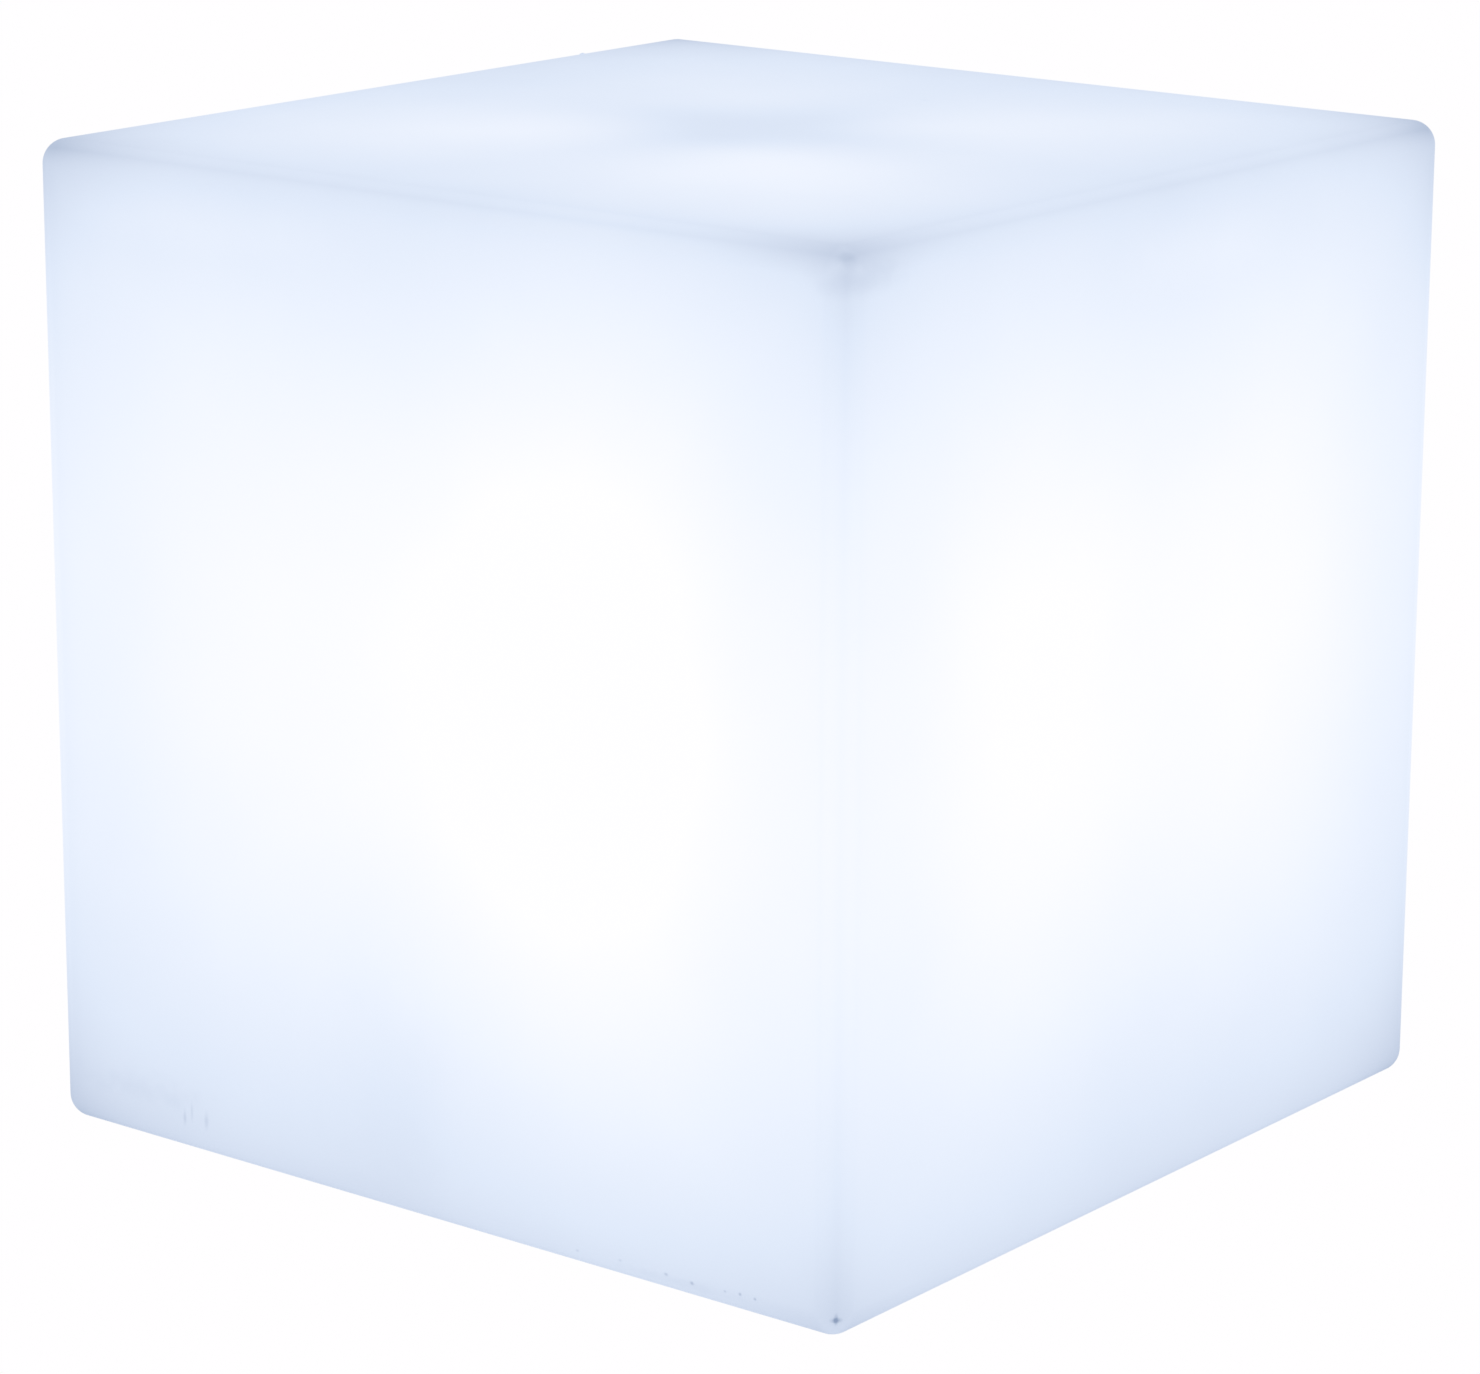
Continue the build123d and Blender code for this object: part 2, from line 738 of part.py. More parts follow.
# Charge socket: a body on the board, and a round nose with a centre pin that reaches into the cover
with BuildPart() as charge_socket:
    disc(socket_nose_radius, socket_nose_low, cover_high + socket_fit, y=socket_place)
    block(socket_body_width, socket_body_width, cover_high + socket_fit, board_low, y=socket_place)
    disc(
        socket_bore_radius,
        socket_nose_low,
        socket_nose_low + socket_bore_depth,
        y=socket_place,
        mode=Mode.SUBTRACT,
    )
    disc(
        socket_pin_radius,
        socket_nose_low + socket_pin_setback,
        socket_nose_low + socket_bore_depth,
        y=socket_place,
    )
save(charge_socket.part, "charge_socket")

# Flap over the socket, on a steel pin
with BuildPart() as port_cover:
    with Locations(Location((0, flap_hinge_place, hinge_height), (0, 90, 0))):
        Cylinder(flap_barrel_radius, flap_neck_width)
    block(
        flap_neck_width,
        flap_neck_length,
        flap_low,
        flap_high,
        y=flap_hinge_place + flap_neck_length / 2,
    )
    block(
        flap_width,
        flap_length - flap_neck_length,
        flap_low,
        flap_high,
        y=flap_hinge_place + (flap_length + flap_neck_length) / 2,
    )
    fillet(port_cover.edges().filter_by(Axis.Z).group_by(Axis.Y)[-1], flap_tab_length)
    block(
        flap_width / 2,
        flap_tab_length,
        flap_low - flap_tab_height,
        flap_low,
        y=flap_hinge_place + flap_length - flap_tab_length / 2,
    )
    disc(flap_stub_radius, flap_high, flap_high + flap_stub_height, y=socket_place)
    chamfer(port_cover.edges().group_by(Axis.Z)[-1], flap_stub_edge)
    with Locations(Location((0, flap_hinge_place, hinge_height), (0, 90, 0))):
        Cylinder(hinge_pin_radius + hinge_pin_fit, flap_width, mode=Mode.SUBTRACT)
save(port_cover.part, "port_cover")

with BuildPart() as flap_hinge_pin:
    with Locations(Location((0, flap_hinge_place, hinge_height), (0, 90, 0))):
        Cylinder(hinge_pin_radius, flap_width)
save(flap_hinge_pin.part, "flap_hinge_pin")

# Control board: a round board with a window around the finger wells
with BuildPart() as control_board:
    disc(board_radius, board_low, board_high)
    block(board_window_x, board_window_y, board_low, board_high, mode=Mode.SUBTRACT)
    with PolarLocations(board_boss_circle, board_boss_count, start_angle=board_boss_turn):
        disc(board_screw_radius + screw_fit, board_low, board_high, mode=Mode.SUBTRACT)
save(control_board.part, "control_board")

with BuildPart() as board_screws:
    with PolarLocations(board_boss_circle, board_boss_count, start_angle=board_boss_turn):
        screw_down(
            board_screw_radius,
            board_screw_head_radius,
            board_screw_head_height,
            board_high,
            board_low - board_screw_depth + screw_fit,
        )
save(board_screws.part, "board_screws")

# Connectors for the lamp lead and the two battery leads
with BuildPart() as board_connectors:
    block(connector_width, connector_width, board_high, connector_high, x=-lead_place_x, y=lamp_lead_place_y)
    for side in (-1, 1):
        block(
            connector_width,
            connector_width,
            board_high,
            connector_high,
            x=side * lead_place_x,
            y=side * lead_place_y,
        )
save(board_connectors.part, "board_connectors")

# Coil, capacitors and chips, in a row each side of the window
with BuildPart() as board_components:
    disc(coil_radius, board_high, board_high + coil_height, y=-component_row)
    disc(capacitor_radius, board_high, board_high + capacitor_height, x=-component_step, y=-component_row)
    disc(capacitor_radius, board_high, board_high + capacitor_height, x=component_step, y=-component_row)
    for step in (-1, 0, 1):
        block(
            driver_width,
            driver_width,
            board_high,
            board_high + driver_height,
            x=step * component_step,
            y=component_row,
        )
save(board_components.part, "board_components")

# Battery: cells side by side, snapped up into a cradle under the tub's roof
with BuildPart() as battery_cells:
    with GridLocations(0, cell_pitch, 1, cell_count):
        with Locations(Location((0, 0, cell_height), (0, 90, 0))):
            Cylinder(cell_radius, cell_length)
save(battery_cells.part, "battery_cells")

with BuildPart() as battery_cradle:
    block(2 * cradle_end, 2 * cradle_side, cell_low, tub_roof_low)
    block(2 * contact_end, 2 * (cradle_side - cradle_rail), cell_low, cell_height, mode=Mode.SUBTRACT)
    with GridLocations(0, cell_pitch, 1, cell_count):
        with Locations(Location((0, 0, cell_height), (0, 90, 0))):
            Cylinder(cell_radius + cell_gap, 2 * contact_end, mode=Mode.SUBTRACT)
    for side in (-1, 1):
        block(
            contact_thickness + cell_gap,
            contact_width,
            cell_height - contact_height / 2,
            cell_height + contact_height / 2,
            x=side * (cell_end + contact_thickness / 2),
            mode=Mode.SUBTRACT,
        )
        with Locations(Location((side * cradle_end, side * lead_place_y, cell_height), (0, 90, 0))):
            Cylinder(lead_radius + lead_hole_gap, 2 * cradle_wall, mode=Mode.SUBTRACT)
        disc(
            clamp_screw_radius + screw_fit,
            cell_low,
            cell_low + clamp_screw_length,
            y=side * rail_place,
            mode=Mode.SUBTRACT,
        )
    with GridLocations(2 * cradle_tab_x, 2 * cradle_tab_y, 2, 2):
        block(cradle_tab_width, cradle_tab_reach, tub_roof_low - cradle_tab_thickness, tub_roof_low)
        disc(
            clamp_screw_radius + screw_fit,
            tub_roof_low - cradle_tab_thickness,
            tub_roof_low,
            mode=Mode.SUBTRACT,
        )
    block(
        cradle_end + lead_channel_width / 2,
        lead_channel_width,
        tub_roof_low - lead_channel_depth,
        tub_roof_low,
        x=(lead_channel_width / 2 - cradle_end) / 2,
        y=lamp_lead_place_y,
        mode=Mode.SUBTRACT,
    )
save(battery_cradle.part, "battery_cradle")

with BuildPart() as cradle_screws:
    with GridLocations(2 * cradle_tab_x, 2 * cradle_tab_y, 2, 2):
        screw_up(
            clamp_screw_radius,
            clamp_screw_head_radius,
            clamp_screw_head_height,
            tub_roof_low - cradle_tab_thickness,
            tub_high - cradle_screw_skin,
        )
save(cradle_screws.part, "cradle_screws")

with BuildPart() as battery_contacts:
    with GridLocations(2 * cell_end + contact_thickness, 0, 2, 1):
        block(
            contact_thickness,
            contact_width - 2 * cell_gap,
            cell_height - contact_height / 2 + cell_gap,
            cell_height + contact_height / 2 - cell_gap,
        )
save(battery_contacts.part, "battery_contacts")

with BuildPart() as battery_clamp:
    block(clamp_width, 2 * cradle_side, clamp_low, cell_low)
    with GridLocations(0, 2 * rail_place, 1, 2):
        disc(clamp_screw_radius + screw_fit, clamp_low, cell_low, mode=Mode.SUBTRACT)
save(battery_clamp.part, "battery_clamp")

with BuildPart() as clamp_screws:
    with GridLocations(0, 2 * rail_place, 1, 2):
        screw_up(
            clamp_screw_radius,
            clamp_screw_head_radius,
            clamp_screw_head_height,
            clamp_low,
            cell_low + clamp_screw_length - screw_fit,
        )
save(clamp_screws.part, "clamp_screws")

# Battery leads: straight up from the board, then round one bend into the cradle
for side, colour in ((1, "red"), (-1, "black")):
    with BuildPart() as battery_lead:
        with BuildLine() as battery_route:
            FilletPolyline(
                (side * lead_place_x, side * lead_place_y, connector_high),
                (side * lead_place_x, side * lead_place_y, cell_height),
                (side * contact_end, side * lead_place_y, cell_height),
                radius=lead_bend,
            )
        with BuildSketch(Plane.XY.offset(connector_high)):
            with Locations((side * lead_place_x, side * lead_place_y)):
                Circle(lead_radius)
        sweep(path=battery_route.wire())
    report_lead(colour, battery_route.wire(), [lead_bend], lead_radius, battery_lead.part.volume)
    save(battery_lead.part, "battery_lead_" + colour)

# Lamp lead: up from the board, along the cradle's channel, and up inside the mast to the head board
with BuildPart() as lamp_lead:
    with BuildLine() as lamp_route:
        FilletPolyline(
            (-lead_place_x, lamp_lead_place_y, connector_high),
            (-lead_place_x, lamp_lead_place_y, lead_height),
            (0, lamp_lead_place_y, lead_height),
            (0, lamp_lead_place_y, mast_high),
            radius=lamp_lead_bend,
        )
    with BuildSketch(Plane.XY.offset(connector_high)):
        with Locations((-lead_place_x, lamp_lead_place_y)):
            Circle(lamp_lead_radius)
    sweep(path=lamp_route.wire())
report_lead(
    "lamp",
    lamp_route.wire(),
    [lamp_lead_bend, lamp_lead_bend],
    lamp_lead_radius,
    lamp_lead.part.volume,
)
save(lamp_lead.part, "lamp_lead")

# Mast: a foot plate with a hollow plug, and the square tube that stands over it
with BuildPart() as mast_foot:
    disc(mast_foot_radius, tub_high, foot_plate_high)
    square_turned(mast_plug_width, foot_plate_high, foot_plate_high + mast_plug_height)
    square_turned(mast_plug_bore, tub_high, foot_plate_high + mast_plug_height, mode=Mode.SUBTRACT)
    with PolarLocations(mast_screw_circle, board_sides, start_angle=board_turn):
        disc(mast_screw_radius + screw_fit, tub_high, foot_plate_high, mode=Mode.SUBTRACT)
save(mast_foot.part, "mast_foot")

with BuildPart() as mast_foot_screws:
    with PolarLocations(mast_screw_circle, board_sides, start_angle=board_turn):
        screw_down(
            mast_screw_radius,
            mast_screw_head_radius,
            mast_screw_head_height,
            foot_plate_high,
            tub_roof_low + roof_skin,
        )
save(mast_foot_screws.part, "mast_foot_screws")

with BuildPart() as mast_post:
    square_turned(mast_width, foot_plate_high, mast_high)
    square_turned(mast_bore, foot_plate_high, mast_high, mode=Mode.SUBTRACT)
    with PolarLocations(mast_half - mast_wall / 2, board_sides, start_angle=board_turn):
        for end in (-1, 1):
            hole_height = lamp_centre_height + end * (lamp_board_length / 2 - lamp_screw_inset)
            with Locations(Location((0, 0, hole_height), (0, 90, 0))):
                Cylinder(lamp_screw_radius + screw_fit, 2 * mast_wall, mode=Mode.SUBTRACT)
save(mast_post.part, "mast_post")

# Lamp boards: one to each side of the mast, each on its own thermal pad, with a row of chips
with BuildPart() as thermal_pads:
    with PolarLocations(mast_half + thermal_pad_thickness / 2, board_sides, start_angle=board_turn):
        block(
            thermal_pad_thickness,
            lamp_board_width,
            lamp_board_low,
            lamp_board_low + lamp_board_length,
        )
        for end in (-1, 1):
            hole_height = lamp_centre_height + end * (lamp_board_length / 2 - lamp_screw_inset)
            with Locations(Location((0, 0, hole_height), (0, 90, 0))):
                Cylinder(lamp_screw_radius + screw_fit, 2 * thermal_pad_thickness, mode=Mode.SUBTRACT)
save(thermal_pads.part, "thermal_pads")

for number in range(board_sides):
    facing = board_turn + number * 360 / board_sides
    with BuildPart() as lamp_board:
        with PolarLocations(board_seat + lamp_board_thickness / 2, 1, start_angle=facing):
            block(
                lamp_board_thickness,
                lamp_board_width,
                lamp_board_low,
                lamp_board_low + lamp_board_length,
            )
            for end in (-1, 1):
                hole_height = lamp_centre_height + end * (lamp_board_length / 2 - lamp_screw_inset)
                with Locations(Location((0, 0, hole_height), (0, 90, 0))):
                    Cylinder(lamp_screw_radius + screw_fit, 2 * lamp_board_thickness, mode=Mode.SUBTRACT)
    save(lamp_board.part, "lamp_board_" + str(number + 1))
    with BuildPart() as lamp_chips:
        with PolarLocations(chip_seat + chip_height / 2, 1, start_angle=facing):
            for chip in range(chip_count):
                chip_middle = lamp_centre_height + (chip - (chip_count - 1) / 2) * chip_pitch
                block(chip_height, chip_width, chip_middle - chip_width / 2, chip_middle + chip_width / 2)
    save(lamp_chips.part, "lamp_chips_" + str(number + 1))

with BuildPart() as lamp_board_screws:
    with PolarLocations(0, board_sides, start_angle=board_turn):
        for end in (-1, 1):
            hole_height = lamp_centre_height + end * (lamp_board_length / 2 - lamp_screw_inset)
            tip = mast_half - mast_wall - lamp_screw_tip
            with Locations(Location((tip, 0, hole_height), (0, 90, 0))):
                Cylinder(lamp_screw_radius, chip_seat - tip, align=standing)
            with Locations(Location((chip_seat, 0, hole_height), (0, 90, 0))):
                Cylinder(lamp_screw_head_radius, lamp_screw_head_height, align=standing)
save(lamp_board_screws.part, "lamp_board_screws")

# Head of the mast: a small board with the remote receiver, under a cap with a window
with BuildPart() as head_board:
    square_turned(head_board_width, mast_high, head_board_high)
save(head_board.part, "head_board")

with BuildPart() as remote_receiver:
    disc(receiver_radius, head_board_high, head_board_high + receiver_height)
    fillet(remote_receiver.edges().group_by(Axis.Z)[-1], receiver_radius / 2)
save(remote_receiver.part, "remote_receiver")

with BuildPart() as mast_cap:
    square_turned(cap_width, mast_high - cap_skirt, cap_high)
    square_turned(cap_bore, mast_high - cap_skirt, cap_roof_low, mode=Mode.SUBTRACT)
    with PolarLocations(0, 1, start_angle=board_turn):
        with GridLocations(2 * cap_post_place, 2 * cap_post_place, 2, 2):
            block(cap_post_width, cap_post_width, head_board_high, cap_roof_low)
    disc(cap_window_radius, cap_roof_low, cap_high, mode=Mode.SUBTRACT)
save(mast_cap.part, "mast_cap")

# Clear cover over the mast, on its gasket and under its retaining ring
with BuildPart() as lamp_cover_void:
    disc(lamp_cover_bore, lamp_flange_low, lamp_cover_roof_low)
    fillet(lamp_cover_void.edges().group_by(Axis.Z)[-1], lamp_cover_top_radius - lamp_cover_wall)

with BuildPart() as lamp_cover:
    disc(lamp_cover_radius, lamp_flange_low, lamp_cover_high)
    fillet(lamp_cover.edges().group_by(Axis.Z)[-1], lamp_cover_top_radius)
    disc(lamp_cover_flange_radius, lamp_flange_low, lamp_flange_high)
    add(lamp_cover_void.part, mode=Mode.SUBTRACT)
    with PolarLocations(lamp_ring_screw_circle, lamp_ring_screw_count):
        disc(lamp_ring_screw_radius + screw_fit, lamp_flange_low, lamp_flange_high, mode=Mode.SUBTRACT)
save(lamp_cover.part, "lamp_cover")

with BuildPart() as lamp_gasket:
    ring(lamp_cover_bore, lamp_cover_flange_radius, tub_high, lamp_flange_low)
    with PolarLocations(lamp_ring_screw_circle, lamp_ring_screw_count):
        disc(lamp_ring_screw_radius + screw_fit, tub_high, lamp_flange_low, mode=Mode.SUBTRACT)
save(lamp_gasket.part, "lamp_gasket")

with BuildPart() as lamp_ring:
    ring(lamp_cover_radius + lamp_ring_gap, lamp_cover_flange_radius, lamp_ring_low, lamp_ring_high)
    with PolarLocations(lamp_ring_screw_circle, lamp_ring_screw_count):
        disc(lamp_ring_screw_radius + screw_fit, lamp_ring_low, lamp_ring_high, mode=Mode.SUBTRACT)
save(lamp_ring.part, "lamp_ring")

with BuildPart() as lamp_ring_screws:
    with PolarLocations(lamp_ring_screw_circle, lamp_ring_screw_count):
        screw_down(
            lamp_ring_screw_radius,
            lamp_ring_screw_head_radius,
            lamp_ring_screw_head_height,
            lamp_ring_high,
            tub_roof_low + roof_skin,
        )
save(lamp_ring_screws.part, "lamp_ring_screws")
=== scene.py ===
"""A lit garden cube: how its pieces look.

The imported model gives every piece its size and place. This script gives the cube its moulded skin, which
glows from the lamp inside it, dresses the base unit and the lamp module, and sets the cube on white ground.
Sizes are millimetres in the model's frame, and metres only where Blender takes them.
"""

import logging
import math
from dataclasses import dataclass, field
from enum import Enum

import bmesh
import bpy
from mathutils import Matrix, Vector


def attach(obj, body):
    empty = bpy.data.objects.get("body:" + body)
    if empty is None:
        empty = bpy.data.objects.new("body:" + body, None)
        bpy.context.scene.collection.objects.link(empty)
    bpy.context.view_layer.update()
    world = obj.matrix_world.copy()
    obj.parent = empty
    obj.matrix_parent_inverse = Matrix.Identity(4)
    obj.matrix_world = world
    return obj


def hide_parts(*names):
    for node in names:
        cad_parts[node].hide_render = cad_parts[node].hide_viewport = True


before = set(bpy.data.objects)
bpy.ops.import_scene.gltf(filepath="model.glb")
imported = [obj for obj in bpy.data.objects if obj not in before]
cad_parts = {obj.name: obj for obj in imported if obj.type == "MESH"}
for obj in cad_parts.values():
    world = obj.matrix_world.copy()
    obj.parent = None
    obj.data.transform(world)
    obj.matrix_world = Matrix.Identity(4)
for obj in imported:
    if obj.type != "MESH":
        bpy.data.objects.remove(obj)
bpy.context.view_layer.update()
LOG = logging.getLogger("lit_cube")
MILLIMETRE = 0.001
# The most that Blender takes: a flat face alone sets the normals at its corners
FLAT_FACE_WEIGHT = 100
# Blender's names for the two nodes that are used the most
MATHS = "ShaderNodeMath"
VECTOR_MATHS = "ShaderNodeVectorMath"

Colour = tuple[float, float, float, float]
Place = tuple[float, float, float]
Flat = tuple[float, float]
Outline = list[Flat]
Values = dict[str, object]
Material = bpy.types.Material
Node = bpy.types.Node
Piece = bpy.types.Object
Socket = bpy.types.NodeSocket
Tree = bpy.types.NodeTree


def srgb(code: str) -> Colour:
    """Turn an sRGB hex colour such as "#f0f5ff" into linear values, on the standard's own curve.

    Args:
        code: The colour, with or without its #.

    Returns:
        Linear red, green and blue, and an alpha of 1.
    """
    digits = code.lstrip("#")
    shares = [int(digits[i : i + 2], 16) / 255 for i in (0, 2, 4)]
    linear = [c / 12.92 if c <= 0.04045 else ((c + 0.055) / 1.055) ** 2.4 for c in shares]
    return (linear[0], linear[1], linear[2], 1.0)


def add_node(tree: Tree, kind: str, inputs: object = (), **settings: object) -> Node:
    """Add a node, set it up and link it.

    Args:
        tree: The tree that takes the node.
        kind: Blender's name for the node.
        inputs: Values in the order of the node's inputs, or by name in a dict. A node stands for its first
            output, a socket is linked, and None leaves an input as it is.
        settings: The node's own properties.

    Returns:
        The node.
    """
    node = tree.nodes.new(kind)
    for name, value in settings.items():
        setattr(node, name, value)
    for key, value in inputs.items() if isinstance(inputs, dict) else enumerate(inputs):
        if isinstance(value, Node):
            value = value.outputs[0]
        if isinstance(value, Socket):
            tree.links.new(value, node.inputs[key])
        elif value is not None:
            node.inputs[key].default_value = value
    return node


def set_stops(ramp: Node, stops: list[tuple[float, str]]) -> None:
    """Give a colour ramp its stops.

    Args:
        ramp: The colour ramp node.
        stops: Each stop's place from 0 to 1, and its sRGB hex colour.
    """
    elements = ramp.color_ramp.elements
    while len(elements) < len(stops):
        elements.new(0.5)
    for element, (place, code) in zip(elements, sorted(stops)):
        element.position = place
        element.color = srgb(code)


# Mesh helpers


def new_piece(name: str, mesh: bpy.types.Mesh | None = None) -> Piece:
    """Put an object with this mesh, or an empty one, at the origin of the scene."""
    piece = bpy.data.objects.new(name, mesh or bpy.data.meshes.new(name))
    bpy.context.scene.collection.objects.link(piece)
    return piece


def piece_from(name: str, shape: bmesh.types.BMesh) -> Piece:
    """Make an object from a bmesh, with its faces turned outwards."""
    bmesh.ops.recalc_face_normals(shape, faces=shape.faces[:])
    piece = new_piece(name)
    shape.to_mesh(piece.data)
    shape.free()
    return piece


def lathe(name: str, profile: Outline, steps: int, ring: bool = False) -> Piece:
    """Turn a closed solid about the upright axis.

    Args:
        name: The object's name.
        profile: Radius and height of each point, from one end on the axis to the other, or round a ring.
        steps: Faces round the axis.
        ring: Whether the last point joins the first, clear of the axis.

    Returns:
        The new object.
    """
    shape = bmesh.new()
    rows = []
    for radius, height in profile:
        count = steps if radius > 0 else 1
        row = []
        for step in range(count):
            angle = math.tau * step / steps
            point = Vector((radius * math.cos(angle), radius * math.sin(angle), height)) * MILLIMETRE
            row.append(shape.verts.new(point))
        rows.append(row)
    for low, high in zip(rows, rows[1:] + (rows[:1] if ring else [])):
        for step in range(steps):
            after = (step + 1) % steps
            sides = ((low, step), (low, after), (high, after), (high, step))
            corners = [row[place % len(row)] for row, place in sides]
            shape.faces.new(list(dict.fromkeys(corners)))
    return piece_from(name, shape)


def arc_points(centre: Flat, radius: float, start: float, end: float, steps: int) -> Outline:
    """Points along an arc.

    Args:
        centre: The arc's centre.
        radius: The arc's radius.
        start: The angle in degrees at the first point.
        end: The angle in degrees at the last point.
        steps: The number of runs between points.

    Returns:
        The points, both ends among them.
    """
    points = []
    for step in range(steps + 1):
        angle = math.radians(start + (end - start) * step / steps)
        points.append((centre[0] + radius * math.cos(angle), centre[1] + radius * math.sin(angle)))
    return points


def slab(name: str, outline: Outline, low: float, high: float) -> Piece:
    """Raise a flat outline between two heights.

    Args:
        name: The object's name.
        outline: The outline's corners in order.
        low: The lower height.
        high: The upper height.

    Returns:
        The new object.
    """
    shape = bmesh.new()
    floor = [shape.verts.new(Vector((x, y, low)) * MILLIMETRE) for x, y in outline]
    roof = [shape.verts.new(Vector((x, y, high)) * MILLIMETRE) for x, y in outline]
    shape.faces.new(floor)
    shape.faces.new(roof)
    for here in range(len(outline)):
        after = (here + 1) % len(outline)
        shape.faces.new((floor[here], floor[after], roof[after], roof[here]))
    return piece_from(name, shape)


def settle(piece: Piece) -> None:
    """Turn a piece's modifiers into a plain mesh."""
    bpy.context.view_layer.update()
    graph = bpy.context.evaluated_depsgraph_get()
    evaluated = piece.evaluated_get(graph)
    mesh = bpy.data.meshes.new_from_object(evaluated, preserve_all_data_layers=True, depsgraph=graph)
    before = piece.data
    piece.modifiers.clear()
    piece.data = mesh
    mesh.name = piece.name
    if before.users == 0:
        bpy.data.meshes.remove(before)


def smooth(piece: Piece, crease: float = 35.0) -> None:
    """Shade a piece smoothly between its creases, with its flat faces kept flat.

    Args:
        piece: The piece.
        crease: The angle in degrees from which an edge stays sharp.
    """
    piece.data.shade_smooth()
    piece.data.set_sharp_from_angle(angle=math.radians(crease))
    weighting = piece.modifiers.new("flat faces", "WEIGHTED_NORMAL")
    weighting.keep_sharp = True
    weighting.weight = FLAT_FACE_WEIGHT
    settle(piece)


def discard(*pieces: Piece) -> None:
    """Remove objects that only shaped other pieces."""
    for piece in pieces:
        mesh = piece.data
        bpy.data.objects.remove(piece)
        if mesh.users == 0:
            bpy.data.meshes.remove(mesh)


# Geometry trees


def geometry_tree(name: str, sockets: dict[str, str]) -> tuple[Tree, Node]:
    """Start a geometry tree.

    Args:
        name: The tree's name.
        sockets: The name of each input and the kind of its socket.

    Returns:
        The tree, and the node that gives its inputs.
    """
    tree = bpy.data.node_groups.new(name, "GeometryNodeTree")
    for label, kind in sockets.items():
        tree.interface.new_socket(label, in_out="INPUT", socket_type="NodeSocket" + kind)
    tree.interface.new_socket("Geometry", in_out="OUTPUT", socket_type="NodeSocketGeometry")
    return tree, add_node(tree, "NodeGroupInput")


def end_tree(tree: Tree, geometry: Node, material: Socket) -> None:
    """End a geometry tree with real copies in one material.

    Args:
        tree: The tree.
        geometry: The node whose first output is the shape.
        material: The socket that gives the material.
    """
    real = add_node(tree, "GeometryNodeRealizeInstances", [geometry])
    dressed = add_node(tree, "GeometryNodeSetMaterial", {"Geometry": real, "Material": material})
    add_node(tree, "NodeGroupOutput", [dressed])


def run_tree(piece: Piece, tree: Tree, values: Values) -> None:
    """Run a geometry tree on a piece and keep what it makes as a plain mesh.

    Args:
        piece: The piece, whose mesh is the tree's geometry input.
        tree: The tree.
        values: The value of each named input.
    """
    modifier = piece.modifiers.new(tree.name, "NODES")
    modifier.node_group = tree
    for socket in tree.interface.items_tree:
        if socket.in_out == "INPUT" and socket.name in values:
            modifier[socket.identifier] = values[socket.name]
    settle(piece)


# Finishes


@dataclass(frozen=True)
class Finish:
    """What a piece is made of, and how its surface was made."""

    name: str

    def start(self) -> tuple[Material, Tree, Node]:
        """Start a material.

        Returns:
            The material, its empty tree, and a node that gives the object's coordinates in millimetres.
        """
        material = bpy.data.materials.new(self.name)
        material.use_nodes = True
        tree = material.node_tree
        tree.nodes.clear()
        place = add_node(tree, "ShaderNodeTexCoord").outputs["Object"]
        scaled = add_node(tree, VECTOR_MATHS, {"Vector": place, "Scale": 1 / MILLIMETRE}, operation="SCALE")
        return material, tree, scaled

    def close(self, tree: Tree, sockets: Values) -> None:
        """End a material with its shader.

        Args:
            tree: The material's tree.
            sockets: Values and links for the shader's sockets.
        """
        shader = add_node(tree, "ShaderNodeBsdfPrincipled", sockets)
        add_node(tree, "ShaderNodeOutputMaterial", [shader])

    def close_surface(
        self,
        tree: Tree,
        dulling: tuple[Node, float, float],
        relief: tuple[Node, float, float],
        sockets: Values,
    ) -> None:
        """End a material whose surface is dulled and raised by patterns.

        Args:
            tree: The material's tree.
            dulling: The pattern that dulls, and the roughness at its 0 and at its 1.
            relief: The pattern that raises, how strongly it shows, and its height in millimetres.
            sockets: Values and links for the shader's other sockets.
        """
        pattern, least, most = dulling
        roughness = add_node(
            tree, "ShaderNodeMapRange", {"Value": pattern, "To Min": least, "To Max": most}
        )
        pattern, strength, height = relief
        raised = {"Height": pattern, "Strength": strength, "Distance": height * MILLIMETRE}
        bump = add_node(tree, "ShaderNodeBump", raised)
        self.close(tree, sockets | {"Roughness": roughness, "Normal": bump})

    def build(self) -> Material:
        """Make the material."""
        raise NotImplementedError


class MouldGrain(Enum):
    """Texture of a mould's steel: grain width in millimetres, and how deep it shows."""

    SATIN = (0.5, 0.12)
    SPARK = (0.8, 0.35)
    POLISHED = (2.5, 0.03)


@dataclass(frozen=True)
class MouldedPlastic(Finish):
    """Injection-moulded plastic: one even colour, dulled by the grain that its mould leaves."""

    colour: str
    shade: str
    grain: MouldGrain
    roughness: float
    roughness_spread: float = 0.08
    drift_width: float = 28.0
    relief: float = 0.1
    ior: float = 1.53

    def build(self) -> Material:
        """Make the material. Real grain is 0.1 to 0.3 mm wide: it is drawn coarser so that it shows."""
        material, tree, place = self.start()
        width, depth = self.grain.value
        grain = add_node(tree, "ShaderNodeTexNoise", {"Vector": place, "Scale": 1 / width, "Detail": 3.0})
        clouds = {"Vector": place, "Scale": 1 / self.drift_width, "Detail": 2.0}
        drift = add_node(tree, "ShaderNodeTexNoise", clouds)
        colours = {"Factor": drift, "A": srgb(self.colour), "B": srgb(self.shade)}
        colour = add_node(tree, "ShaderNodeMix", colours, data_type="RGBA")
        dulling = (grain, self.roughness - self.roughness_spread, self.roughness + self.roughness_spread)
        sockets = {"Base Color": colour.outputs["Result"], "IOR": self.ior}
        self.close_surface(tree, dulling, (grain, depth, self.relief), sockets)
        return material


